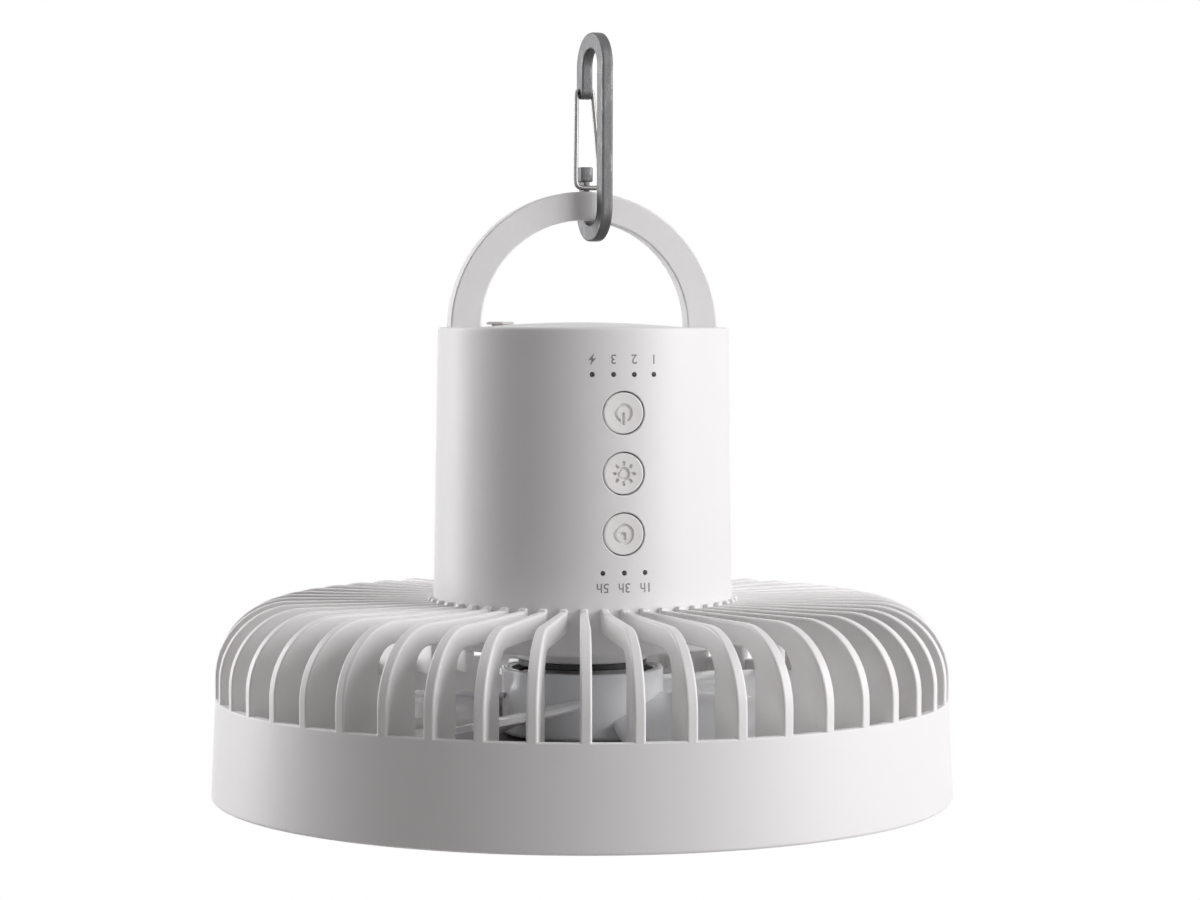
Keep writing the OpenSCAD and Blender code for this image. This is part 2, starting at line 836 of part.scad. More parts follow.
module motor_board() {
    color(lamp_black)
        translate([0, 0, motor_board_z]) ring(motor_board_r, mount_tube_r, board_t);
}

module stator_plan() {
    difference() {
        circle(mount_tube_r + yoke_t);
        circle(mount_tube_r);
    }
    around(tooth_count)
        translate([mount_tube_r + yoke_t / 2, -tooth_w / 4])
            square([stator_r - mount_tube_r - yoke_t, tooth_w / 2]);
    intersection() {
        difference() {
            circle(stator_r);
            circle(stator_r - tooth_tip_t);
        }
        around(tooth_count) translate([0, -tooth_w]) square([stator_r + 1, 2 * tooth_w]);
    }
}

module stator_core() {
    color(steel_grey)
        translate([0, 0, stator_z]) linear_extrude(stator_h) stator_plan();
}

module stator_coils() {
    r0 = mount_tube_r + yoke_t + 0.1;
    l = stator_r - 0.8 - r0;
    color(copper_brown)
        around(tooth_count)
            translate([r0, 0, stator_z - (coil_h - stator_h) / 2])
                difference() {
                    translate([0, -tooth_w * 0.7, 0]) cube([l, tooth_w * 1.4, coil_h]);
                    translate([-1, -tooth_w / 4, (coil_h - stator_h) / 2])
                        cube([l + 2, tooth_w / 2, stator_h]);
                }
}

module motor_screws() {
    color(steel_grey)
        around(motor_screw_count, motor_screw_start)
            translate([motor_screw_ring, 0, floor_top - small_head_h])
                mirror([0, 0, 1])
                    screw(small_screw_r, motor_screw_l - small_head_h - 0.2, small_head_r, small_head_h);
}

module motor_lead() {
    color(lamp_black) {
        turn = [motor_lead_x, motor_lead_y, motor_lead_z];
        lead_run([motor_lead_x, motor_lead_y, mount_z], turn, motor_lead_r);
        lead_run(turn, [motor_lead_x, lead_end_y(motor_lead_r), motor_lead_z], motor_lead_r);
    }
}

// ---- Body ----

module body_wall_solid() {
    rotate_extrude() {
        polygon([
            [body_bore_r, guard_h], [body_r, guard_h], [body_r_at(body_top - rim_round), body_top
                - rim_round],
            [body_bore_r, body_top - rim_round]
        ]);
        translate([body_bore_r, body_top - rim_round])
            square([body_top_r - rim_round - body_bore_r, rim_round]);
        intersection() {
            translate([body_top_r - rim_round, body_top - rim_round]) circle(rim_round);
            translate([body_bore_r, body_top - rim_round]) square([10, 10]);
        }
        translate([body_bore_r - ledge_w, ledge_top - ledge_t]) square([ledge_w + 0.3, ledge_t]);
    }
}

// Holes for the buttons and the indicator lights, along Y
module panel_holes() {
    for (z = button_zs) translate([0, 0, z]) rotate([90, 0, 0]) cylinder(r = button_hole_r, h = body_r + 5);
    for (k = upper_lights) light_at(k, upper_row_z) cylinder(r = light_r + fit, h = body_r);
    for (k = lower_lights) light_at(k, lower_row_z) cylinder(r = light_r + fit, h = body_r);
}

// Puts its children at an indicator light, starting on the control board's chip and pointing to -Y
module light_at(k, z) {
    translate([body_r_at(z) * sin(k * light_step), -control_board_y - indicator_chip_h, z])
        rotate([90, 0, 0]) children();
}

// Posts for the control board, ended inside the wall
module board_posts() {
    for (x = [-board_post_x, board_post_x], z = board_posts_z)
        difference() {
            intersection() {
                translate([x, -control_board_y, z]) rotate([90, 0, 0])
                    cylinder(r = board_post_r, h = body_bore_r - control_board_y);
                translate([0, 0, z - board_post_r - 1])
                    cylinder(r = body_bore_r + wall_sink, h = 2 * board_post_r + 2);
            }
            translate([x, -control_board_y + 1, z]) rotate([90, 0, 0]) cylinder(r = small_screw_r, h = 5.5);
        }
}

module body_bosses() {
    around(body_screw_count, 45)
        difference() {
            union() {
                translate([body_boss_ring, 0, floor_top])
                    cylinder(r = body_boss_r, h = guard_h + body_boss_h - floor_top);
                translate([body_boss_ring, -1.5, guard_h])
                    cube([body_bore_r + 0.4 - body_boss_ring, 3, body_boss_h]);
            }
            translate([body_boss_ring, 0, floor_z])
                cylinder(r = screw_r, h = body_screw_l - screw_head_h + 1);
        }
}

module cap_lugs() {
    around(cap_screw_count, 90)
        difference() {
            translate([body_bore_r - lug_l, -lug_w / 2, ledge_top - lug_t])
                cube([lug_l + 0.3, lug_w, lug_t]);
            translate([cap_screw_ring, 0, ledge_top - lug_t - 1])
                cylinder(r = screw_r + screw_way, h = lug_t + 2);
        }
}

module body_shell() {
    color(shell_white) {
        difference() {
            body_wall_solid();
            panel_holes();
        }
        board_posts();
        body_bosses();
        cap_lugs();
    }
}

module body_screws() {
    color(steel_grey)
        around(body_screw_count, 45)
            translate([body_boss_ring, 0, floor_z])
                screw(screw_r, body_screw_l - screw_head_h, screw_head_r, screw_head_h);
}

// ---- End cap and charging port ----

module cap_profile() {
    difference() {
        union() {
            translate([0, channel_floor_z]) square([cap_r, body_top - channel_floor_z]);
            intersection() {
                translate([0, body_top + cap_crown - crown_sphere_r]) circle(crown_sphere_r, $fn = 360);
                translate([0, body_top - eps]) square([cap_r, cap_crown + 1]);
            }
            translate([cap_r - cap_wall, channel_floor_z])
                square([body_bore_r - 0.1 - cap_r + cap_wall, cap_wall]);
            translate([body_bore_r - ledge_w, ledge_top])
                square([ledge_w - 0.1, channel_floor_z - ledge_top + eps]);
        }
        translate([0, channel_floor_z - 1]) square([cap_r - cap_wall, cap_roof_z - channel_floor_z + 1]);
    }
}

module hinge_bosses() {
    for (side = [0, 180])
        rotate(side)
            translate([cap_r - cap_wall - hinge_boss_l + 0.5, -hinge_boss_w / 2, channel_floor_z])
                cube([hinge_boss_l, hinge_boss_w, cap_roof_z - channel_floor_z + eps]);
}

module end_cap() {
    color(shell_white)
        difference() {
            union() {
                rotate_extrude() cap_profile();
                hinge_bosses();
                around(cap_screw_count, 90)
                    translate([cap_screw_ring, 0, ledge_top])
                        cylinder(r = cap_boss_r, h = channel_z - ledge_top - eps);
                at_port()
                    for (y = [-charge_post_y, charge_post_y])
                        translate([charge_post_x, y, charge_board_top]) cylinder(r = charge_post_r, h = 2);
            }
            for (side = [0, 180])
                rotate(side) translate([pin_in_x, 0, hinge_z]) rotate([0, 90, 0])
                    cylinder(r = pin_r, h = body_bore_r - pin_in_x);
            around(cap_screw_count, 90)
                translate([cap_screw_ring, 0, ledge_top - 1])
                    cylinder(r = screw_r, h = cap_screw_l - lug_t + 1);
            at_port() {
                translate([flap_r - socket_w / 2 - socket_gap, -socket_l / 2 - socket_gap,
                    channel_floor_z - 1])
                    cube([socket_w + 2 * socket_gap, socket_l + 2 * socket_gap, socket_way_h]);
                for (y = [-charge_post_y, charge_post_y])
                    translate([charge_post_x, y, charge_board_top - 1]) cylinder(r = small_screw_r, h = 3.2);
            }
        }
}

module end_cap_screws() {
    color(steel_grey)
        around(cap_screw_count, 90)
            translate([cap_screw_ring, 0, ledge_top - lug_t])
                screw(screw_r, cap_screw_l, screw_head_r, screw_head_h);
}

module port_flap() {
    color(soft_white)
        at_port() {
            translate([flap_hinge_r, -flap_l / 2, flap_z])
                cube([flap_w + 0.2, flap_l, body_top + flap_top - flap_z]);
            translate([flap_r - plug_w / 2, -plug_l / 2, flap_z - plug_d])
                cube([plug_w, plug_l, plug_d + eps]);
        }
}

module charge_socket() {
    color(steel_grey)
        at_port()
            difference() {
                translate([flap_r - socket_w / 2, -socket_l / 2, charge_board_top])
                    cube([socket_w, socket_l, flap_z - plug_d - 0.3 - charge_board_top]);
                translate([flap_r - plug_w / 2 - 0.1, -plug_l / 2 - 0.2, charge_board_top + 1])
                    cube([plug_w + 0.2, plug_l + 0.4, flap_z - charge_board_top]);
            }
}

module charge_board() {
    color(board_green)
        at_port()
            difference() {
                translate([charge_board_in, -charge_board_w / 2, charge_board_z])
                    cube([charge_board_out - charge_board_in, charge_board_w, board_t]);
                for (y = [-charge_post_y, charge_post_y])
                    translate([charge_post_x, y, charge_board_z - 1])
                        cylinder(r = small_screw_r + 0.1, h = 4);
            }
}

module charge_board_screws() {
    color(steel_grey)
        at_port()
            for (y = [-charge_post_y, charge_post_y])
                translate([charge_post_x, y, charge_board_z])
                    screw(small_screw_r, board_t + 2, small_head_r, small_head_h);
}

// ---- Handle ----

module handle_plan() {
    difference() {
        intersection() {
            translate([0, handle_rise]) circle(handle_r);
            translate([-handle_r, 0]) square([2 * handle_r, 2 * handle_r]);
        }
        translate([0, handle_in_rise]) circle(handle_in_r);
    }
}

module handle() {
    leg_out_x = sqrt(handle_r * handle_r - handle_rise * handle_rise);
    color(shell_white)
        difference() {
            union() {
                translate([0, handle_t / 2, hinge_z])
                    rotate([90, 0, 0]) linear_extrude(handle_t) handle_plan();
                for (side = [0, 180])
                    rotate(side)
                        translate([leg_in_x, 0, hinge_z]) rotate([0, 90, 0])
                            cylinder(r = handle_t / 2, h = leg_out_x - leg_in_x);
            }
            for (side = [0, 180])
                rotate(side)
                    translate([leg_in_x - 1, 0, hinge_z]) rotate([0, 90, 0])
                        cylinder(r = pin_r + fit, h = pin_out_x - leg_in_x + 1.2);
        }
}

module handle_pins() {
    color(steel_grey)
        for (side = [0, 180])
            rotate(side)
                translate([pin_in_x, 0, hinge_z]) rotate([0, 90, 0]) cylinder(r = pin_r, h = pin_l);
}

// ---- Snap hook, drawn in its own plane: x towards the gate, y up ----

module round_box(w, h, r) {
    translate([-w / 2 + r, 0]) square([w - 2 * r, h]);
    translate([-w / 2, r]) square([w, h - 2 * r]);
    for (x = [-w / 2 + r, w / 2 - r], y = [r, h - r]) translate([x, y]) circle(r);
}

module hook_plan() {
    difference() {
        translate([0, hook_z]) round_box(hook_w, hook_l, hook_out_r);
        translate([0, hook_in_z]) round_box(hook_in_w, hook_l - 2 * hook_bar, hook_in_r);
        translate([hook_in_w / 2 - 1, nose_top]) square([hook_bar + 2, gate_z - nose_top]);
    }
    translate([gate_mid_y, gate_z]) circle(gate_boss_r);
}

// Stands the hook's own plane upright, its gate towards +Y, at its place on the handle
module at_hook() {
    translate([hook_x, 0, 0]) rotate(hook_yaw) rotate([90, 0, 90]) children();
}

module hook_frame() {
    color(steel_grey)
        at_hook()
            difference() {
                translate([0, 0, -hook_t / 2]) linear_extrude(hook_t) hook_plan();
                translate([gate_mid_y, gate_z, -hook_t]) cylinder(r = wire_r + fit, h = 2 * hook_t);
            }
}

// A closed loop of round wire in the XY plane, w wide between its legs, from y = 0 down to y = -l
module wire_loop(w, l, r, bend) {
    for (side = [-1, 1]) translate([side * w / 2, -bend, 0]) rotate([90, 0, 0])
        cylinder(r = r, h = l - 2 * bend);
    for (y = [0, -l]) translate([-w / 2 + bend, y, 0]) rotate([0, 90, 0]) cylinder(r = r, h = w - 2 * bend);
    for (k = [0 : 3])
        translate([(k == 0 || k == 3 ? 1 : -1) * (w / 2 - bend), k < 2 ? -bend : bend - l, 0])
            rotate(k * 90) rotate_extrude(angle = 90) translate([bend, 0]) circle(r);
}

module hook_gate() {
    lean = atan((gate_mid_y - gate_end_y) / gate_l);
    color(steel_grey)
        at_hook()
            translate([gate_mid_y, gate_z, 0])
                rotate([0, 0, -lean]) rotate([0, -90, 0])
                    wire_loop(gate_w, gate_l / cos(lean), wire_r, gate_bend);
}

// ---- Buttons ----

// A button lying along Y at the height z, with children cut as marks into its face
module button_cap(z) {
    difference() {
        translate([0, -flange_y, z]) rotate([-90, 0, 0]) {
            translate([0, 0, flange_y - button_face_y(z)])
                cylinder(r = button_r, h = button_face_y(z) - flange_y + eps);
            cylinder(r = flange_r, h = flange_t);
            cylinder(r = stem_r, h = flange_t + stem_l);
        }
        translate([0, mark_d - button_face_y(z), z]) rotate([90, 0, 0]) linear_extrude(2) children();
    }
}

module ring_plan(r, w) {
    difference() {
        circle(r);
        circle(r - w);
    }
}

module power_mark() {
    difference() {
        ring_plan(2.2, 0.45);
        translate([-0.7, -4]) square([1.4, 3.6]);
    }
    translate([-0.22, -2.7]) square([0.44, 2.4]);
}

module lamp_mark() {
    ring_plan(1.5, 0.4);
    around(8) translate([2, -0.22]) square([0.9, 0.44]);
}

module timer_mark() {
    ring_plan(2.5, 0.45);
    translate([-0.2, -1.4]) square([0.4, 1.6]);
    translate([-1.1, -0.2]) square([1.3, 0.4]);
}

module power_button() {
    color(soft_white) button_cap(button_zs[0]) power_mark();
}

module lamp_button() {
    color(soft_white) button_cap(button_zs[1]) lamp_mark();
}

module timer_button() {
    color(soft_white) button_cap(button_zs[2]) timer_mark();
}

module plunger(z) {
    color(lamp_black) translate([0, -plunger_y, z]) rotate([-90, 0, 0])
        cylinder(r = plunger_r, h = plunger_l);
}

module power_plunger() {
    plunger(button_zs[0]);
}

module lamp_plunger() {
    plunger(button_zs[1]);
}

module timer_plunger() {
    plunger(button_zs[2]);
}

module push_switches() {
    color(dark_steel)
        for (z = button_zs)
            difference() {
                translate([-switch_w / 2, -switch_y, z - switch_w / 2]) cube([switch_w, switch_h, switch_w]);
                translate([0, -switch_y - 1, z]) rotate([-90, 0, 0])
                    cylinder(r = plunger_r + 0.15, h = 1 + plunger_l - (plunger_y
                        - switch_y) + button_travel + 0.3);
            }
}

module control_board() {
    color(board_green)
        difference() {
            translate([-control_board_w / 2, -control_board_y, control_board_z])
                cube([control_board_w, board_t, control_board_top - control_board_z]);
            for (x = [-board_post_x, board_post_x], z = board_posts_z)
                translate([x, -control_board_y - 1, z]) rotate([-90, 0, 0])
                    cylinder(r = small_screw_r + 0.1, h = 4);
        }
}

module board_screws() {
    color(steel_grey)
        for (x = [-board_post_x, board_post_x], z = board_posts_z)
            translate([x, -control_board_y + board_t, z]) rotate([90, 0, 0])
                screw(small_screw_r, board_screw_l, small_head_r, small_head_h);
}

module indicator_lights() {
    color([0.75, 0.75, 0.75]) {
        for (k = upper_lights) light_pipe(k, upper_row_z);
        for (k = lower_lights) light_pipe(k, lower_row_z);
    }
}

module light_pipe(k, z) {
    r = body_r_at(z);
    depth = r * cos(k * light_step) - control_board_y - indicator_chip_h - run;
    light_at(k, z) cylinder(r = light_r, h = depth);
}

module indicator_chip() {
    translate([-indicator_chip_l / 2, -indicator_chip_w / 2, -indicator_chip_h])
        cube([indicator_chip_l, indicator_chip_w, indicator_chip_h]);
}

module indicator_chips() {
    color([0.95, 0.85, 0.35]) {
        for (k = upper_lights) light_at(k, upper_row_z) indicator_chip();
        for (k = lower_lights) light_at(k, lower_row_z) indicator_chip();
    }
}

// ---- Battery ----

module at_cells() {
    for (a = cell_angles) translate([cell_ring_r * cos(a), cell_shift + cell_ring_r * sin(a), 0]) children();
}

module battery_cells() {
    color([0.2, 0.45, 0.75])
        at_cells() translate([0, 0, cell_z]) cylinder(r = cell_r, h = cell_l);
}

module cage_post() {
    cylinder(r = cage_post_r, h = cage_top_z - floor_top + eps);
}

module battery_cage() {
    color(lamp_black)
        difference() {
            union() {
                translate([0, 0, floor_top]) cylinder(r = cage_r, h = cage_floor_t);
                at_cells()
                    translate([0, 0, floor_top])
                        cylinder(r = cell_hole_r + cage_cup_wall, h = cage_floor_t + cage_cup_h);
                translate([0, 0, cage_top_z]) cylinder(r = cage_r, h = cage_top_t);
                for (a = [30, 150]) rotate(a) translate([cage_post_ring, 0, floor_top]) cage_post();
                translate([cage_post_x, -cage_post_ring, floor_top]) cage_post();
            }
            at_cells() translate([0, 0, cell_z]) cylinder(r = cell_hole_r, h = cell_l);
            translate([0, 0, floor_z]) cylinder(r = wire_way_r, h = cell_z + cage_cup_h + 1 - floor_z);
            translate([motor_lead_x, motor_lead_y, floor_z])
                cylinder(r = wire_way_r, h = cell_z + cage_cup_h + 1 - floor_z);
            translate([0, battery_lead_y, cage_top_z - 1]) cylinder(r = wire_way_r, h = cage_top_t + 2);
            translate([-wire_way_r, -cage_r, lamp_lead_z - wire_way_r])
                cube([2 * wire_way_r, cage_r, 2 * wire_way_r]);
        }
}

module cell_strips() {
    y = cell_shift + cell_ring_r * sin(210);
    x = cell_ring_r * cos(330);
    color([0.8, 0.8, 0.78]) {
        translate([-x - 3, y - strip_w / 2, cell_top]) cube([2 * x + 6, strip_w, strip_t]);
        translate([-strip_w / 2, cell_shift + cell_ring_r - 3, cell_top]) cube([strip_w, 6, strip_t]);
    }
}

module battery_lead() {
    z = cell_top + strip_t + battery_lead_r;
    y0 = cell_shift + cell_ring_r * sin(210);
    color([0.75, 0.12, 0.1]) {
        lead_run([0, y0, z], [0, battery_lead_y, z], battery_lead_r);
        lead_run([0, battery_lead_y, z], [0, battery_lead_y, battery_lead_z], battery_lead_r);
        lead_run([0, battery_lead_y, battery_lead_z], [0, lead_end_y(battery_lead_r), battery_lead_z],
            battery_lead_r);
    }
}

rear_guard();
front_grille();
grille_screws();
lamp_housing();
lamp_board();
lamp_chips();
lamp_reflector();
lamp_diffuser();
lamp_screws();
lamp_lead();
fan_rotor();
rotor_ring();
ring_magnet();
bearings();
bearing_spacer();
motor_shaft();
shaft_sleeve();
shaft_clip();
motor_mount();
motor_board();
stator_core();
stator_coils();
motor_screws();
motor_lead();
body_shell();
body_screws();
end_cap();
end_cap_screws();
port_flap();
charge_socket();
charge_board();
charge_board_screws();
handle();
handle_pins();
hook_frame();
hook_gate();
power_button();
lamp_button();
timer_button();
power_plunger();
lamp_plunger();
timer_plunger();
push_switches();
control_board();
board_screws();
indicator_lights();
indicator_chips();
battery_cells();
battery_cage();
cell_strips();
battery_lead();
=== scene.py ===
"""The look of a portable camping fan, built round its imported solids.

Sizes inside the classes are millimetres, and meshes are written in metres. +Z runs along the rotor's
axis from the front rim up to the handle, and the button panel faces -Y.
"""

import logging
import math
from dataclasses import dataclass, field
from enum import Enum
from typing import Callable

import bmesh
import bpy
import numpy as np
from mathutils import Matrix, Vector


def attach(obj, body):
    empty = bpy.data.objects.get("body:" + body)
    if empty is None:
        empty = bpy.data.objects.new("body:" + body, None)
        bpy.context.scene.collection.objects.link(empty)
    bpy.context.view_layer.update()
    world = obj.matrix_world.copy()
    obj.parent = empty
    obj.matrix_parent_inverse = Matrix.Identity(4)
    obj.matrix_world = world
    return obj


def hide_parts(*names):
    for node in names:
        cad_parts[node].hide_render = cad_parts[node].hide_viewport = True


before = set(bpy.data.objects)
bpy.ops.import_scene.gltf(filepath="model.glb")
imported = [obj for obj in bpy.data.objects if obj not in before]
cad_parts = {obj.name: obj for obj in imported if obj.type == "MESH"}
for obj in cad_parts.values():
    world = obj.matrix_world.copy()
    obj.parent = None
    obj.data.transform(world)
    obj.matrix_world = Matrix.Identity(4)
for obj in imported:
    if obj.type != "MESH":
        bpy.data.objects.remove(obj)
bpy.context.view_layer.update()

LOG = logging.getLogger("camping_fan")
MM = 0.001
TURN = 2.0 * math.pi
SCREW_RING = 89.0


# ---------------------------------------------------------------- shapes


def unit(v: np.ndarray) -> np.ndarray:
    """Vectors scaled to length 1 along the last axis."""
    return v / np.linalg.norm(v, axis=-1, keepdims=True)


def rounded(points: list, radii: float | list, closed: bool = True, steps: int = 4,
            hold: float = 0.05) -> np.ndarray:
    """A polyline whose corners are arcs, with a short straight beside each arc that keeps the flats flat.

    Each corner's arc has its centre on the corner's bisector at radius / sin(half the corner's angle), and
    turns from the foot on one side to the foot on the other by spherical interpolation.

    Args:
        points: The corners, n by 2.
        radii: One radius, or one for each corner.
        closed: Whether the last corner joins the first. The ends of an open line stay as they are.
        steps: Segments in an arc.
        hold: Length of the short straight.

    Returns:
        The rounded polyline, m by 2, without the repeated first point.
    """
    p = np.asarray(points, float)
    r = np.maximum(np.broadcast_to(np.asarray(radii, float), len(p)), 1e-3)
    u, v = unit(np.roll(p, 1, axis=0) - p), unit(np.roll(p, -1, axis=0) - p)
    angle = np.arccos(np.clip((u * v).sum(1), -1, 1))
    foot = (r / np.tan(angle / 2))[:, None]
    centre = p + unit(u + v) * (r / np.sin(angle / 2))[:, None]
    start, end = p + u * foot - centre, p + v * foot - centre
    sweep = (math.pi - angle)[:, None, None]
    k = np.linspace(0, 1, steps + 1)[None, :, None]
    arc = np.sin((1 - k) * sweep) * start[:, None] + np.sin(k * sweep) * end[:, None]
    arc = centre[:, None] + arc / np.sin(sweep)
    out = np.concatenate([(p + u * (foot + hold))[:, None], arc, (p + v * (foot + hold))[:, None]], axis=1)
    if not closed:
        out[0], out[-1] = p[0], p[-1]
    out = out.reshape(-1, 2)
    step = np.linalg.norm(out - np.roll(out, 1, axis=0), axis=1)
    return out[step > 1e-4]


def turned(profile: np.ndarray, count: int = 192) -> np.ndarray:
    """A profile of radius and height carried once round the Z axis.

    Args:
        profile: n by 2, radius and height.
        count: Stations round the axis.

    Returns:
        Points, count by n by 3.
    """
    a = np.linspace(0, TURN, count, endpoint=False)[:, None]
    r, z = profile[:, 0], profile[:, 1]
    return np.stack([np.cos(a) * r, np.sin(a) * r, np.broadcast_to(z, (count, len(z)))], axis=-1)


def pipe(path: np.ndarray, normal: np.ndarray, radius: float, sides: int = 14) -> np.ndarray:
    """A round wire along a closed flat path: each station is the path's point plus a circle across it.

    Args:
        path: The middle of the wire, n by 3, in one plane.
        normal: The plane's unit normal.
        radius: The wire's radius.
        sides: Points round the wire.

    Returns:
        Points, n by sides by 3.
    """
    along = unit(np.roll(path, -1, axis=0) - np.roll(path, 1, axis=0))
    across = np.cross(along, normal)
    a = np.linspace(0, TURN, sides, endpoint=False)[None, :, None]
    return path[:, None] + radius * (np.cos(a) * normal + np.sin(a) * across[:, None])


def edge_template(radius: float, steps: int = 3, hold: float = 0.05) -> tuple[np.ndarray, np.ndarray]:
    """Points round a rectangle with rounded corners, told as a corner and an offset from it.

    The same template serves sections of any size, because a point is corner * half size + offset.

    Args:
        radius: Radius of the corners.
        steps: Segments in a corner.
        hold: Length of the straight beside each arc.

    Returns:
        The corners, each -1 or 1 in both directions, and the offsets in millimetres, both m by 2.
    """
    square = np.array([[-1, -1], [1, -1], [1, 1], [-1, 1]], float)
    big = 100.0
    line = rounded((square * big).tolist(), radius, steps=steps, hold=hold)
    corner = np.sign(line)
    return corner, line - corner * big


def resampled(path: np.ndarray, gap: float, closed: bool = False) -> np.ndarray:
    """A polyline with extra points, so that none of its segments is longer than gap.

    Args:
        path: n by d.
        gap: The longest segment allowed.
        closed: Whether the last point joins the first.

    Returns:
        The denser polyline, with every given point kept.
    """
    ends = np.roll(path, -1, axis=0) if closed else np.vstack([path[1:], path[-1:]])
    pieces = np.maximum(1, np.ceil(np.linalg.norm(ends - path, axis=1) / gap)).astype(int)
    if not closed:
        pieces[-1] = 1
    which = np.repeat(np.arange(len(path)), pieces)
    share = (np.arange(len(which)) - np.repeat(np.cumsum(pieces) - pieces, pieces)) / pieces[which]
    return path[which] + (ends - path)[which] * share[:, None]


def rounded_box(size: tuple[float, float, float], radius: float, steps: int = 4, hold: float = 0.05) -> np.ndarray:
    """A box about the origin with rounded edges: a sphere's grid cut at its octants and moved to the corners.

    Args:
        size: Lengths along X, Y and Z.
        radius: Radius of the edges.
        steps: Segments in a quarter turn.
        hold: Inset of the extra ring on the level faces.

    Returns:
        Points, rows by columns by 3. Columns close on themselves, and the first and last rows are points.
    """
    quarter = np.linspace(0, math.pi / 2, steps + 1)
    lon = (quarter[None] + np.arange(4)[:, None] * math.pi / 2).ravel()
    sx = np.repeat([1.0, -1.0, -1.0, 1.0], steps + 1)
    sy = np.repeat([1.0, 1.0, -1.0, -1.0], steps + 1)
    lat = np.concatenate([quarter - math.pi / 2, quarter])[:, None]
    sz = np.repeat([-1.0, 1.0], steps + 1)[:, None]
    half = np.array(size) / 2 - radius
    x = sx * half[0] + radius * np.cos(lat) * np.cos(lon)
    y = sy * half[1] + radius * np.cos(lat) * np.sin(lon)
    z = np.broadcast_to(sz * half[2] + radius * np.sin(lat), x.shape)
    body = np.stack([x, y, z], axis=-1)
    inset = np.array([1 - hold / max(half[0], hold * 2), 1 - hold / max(half[1], hold * 2), 1])
    middle = np.array([0, 0, 1.0])
    return np.concatenate([body[:1] * middle, body[:1] * inset, body, body[-1:] * inset, body[-1:] * middle])


def lathe(points: list, radii: float | list, gap: float, count: int, steps: int = 4) -> np.ndarray:
    """A closed outline of radius and height with rounded corners, turned once round the Z axis.

    Args:
        points: The outline's corners.
        radii: One radius, or one for each corner.
        gap: The longest segment of the outline.
        count: Stations round the axis.
        steps: Segments in a corner.

    Returns:
        Points, count by n by 3.
    """
    return turned(resampled(rounded(points, radii, steps=steps), gap, True), count)


def capped(grid: np.ndarray) -> np.ndarray:
    """Closes a grid's ends: the first and the last row each gather to their own middle.

    Args:
        grid: Points, rows by columns by 3.

    Returns:
        The grid with one more row at each end.
    """
    first, last = (row.mean(1, keepdims=True).repeat(grid.shape[1], 1) for row in (grid[:1], grid[-1:]))
    return np.concatenate([first, grid, last])


def screw_spots() -> list[tuple[float, float, float]]:
    """Where the four screws of the grille stand: on one ring, midway between the axes."""
    return [(SCREW_RING * math.cos(a), SCREW_RING * math.sin(a), 0) for a in np.radians([45, 135, 225, 315])]


def linked(name: str, mesh: bpy.types.Mesh) -> bpy.types.Object:
    """Puts a mesh in the scene, at the origin.

    Args:
        name: The object's name.
        mesh: Its mesh.

    Returns:
        The new object.
    """
    piece = bpy.data.objects.new(name, mesh)
    bpy.context.scene.collection.objects.link(piece)
    return piece


class Skin:
    """Point grids in millimetres that are joined into one mesh piece."""

    def __init__(self, name: str) -> None:
        """Starts an empty skin.

        Args:
            name: The piece's name.
        """
        self.name = name
        self.points: list[np.ndarray] = []
        self.quads: list[np.ndarray] = []
        self.count = 0

    def add(self, grid: np.ndarray, rows: bool = False, cols: bool = False) -> "Skin":
        """Adds a grid of points as quads.

        Args:
            grid: Points, rows by columns by 3.
            rows: Whether the last row joins the first.
            cols: Whether the last column joins the first.

        Returns:
            The skin itself.
        """
        index = np.arange(grid.shape[0] * grid.shape[1]).reshape(grid.shape[:2]) + self.count
        if rows:
            index = np.vstack([index, index[:1]])
        if cols:
            index = np.hstack([index, index[:, :1]])
        quad = np.stack([index[:-1, :-1], index[:-1, 1:], index[1:, 1:], index[1:, :-1]], axis=-1)
        self.points.append(grid.reshape(-1, 3))
        self.quads.append(quad.reshape(-1, 4))
        self.count += grid.shape[0] * grid.shape[1]
        return self

    def placed(self, grid: np.ndarray, turn: Matrix | None = None, at: tuple = (0, 0, 0), **ways: bool) -> "Skin":
        """Adds a grid after turning and moving it.

        Args:
            grid: Points, rows by columns by 3.
            turn: Rotation, or none.
            at: Where the grid's origin goes.
            **ways: rows and cols, as in add.

        Returns:
            The skin itself.
        """
        spin = np.array(turn.to_3x3()) if turn is not None else np.eye(3)
        return self.add(grid @ spin.T + np.array(at, float), **ways)

    def make(self, sharp: float = 40.0, outward: bool = True) -> bpy.types.Object:
        """Builds the mesh: doubles are merged, faces point outwards and shade smoothly.

        Args:
            sharp: Edges that bend more than this many degrees stay sharp.
            outward: Whether the faces' direction is worked out anew, which needs closed shells.

        Returns:
            The new object, at the origin.
        """
        mesh = bpy.data.meshes.new(self.name)
        mesh.from_pydata((np.vstack(self.points) * MM).tolist(), [], np.vstack(self.quads).tolist())
        work = bmesh.new()
        work.from_mesh(mesh)
        bmesh.ops.remove_doubles(work, verts=work.verts, dist=2e-6)
        bmesh.ops.dissolve_degenerate(work, edges=work.edges, dist=1e-8)
        if outward:
            bmesh.ops.recalc_face_normals(work, faces=work.faces)
        work.to_mesh(mesh)
        work.free()
        mesh.shade_smooth()
        mesh.set_sharp_from_angle(angle=math.radians(sharp))
        return linked(self.name, mesh)


# ---------------------------------------------------------------- finishes


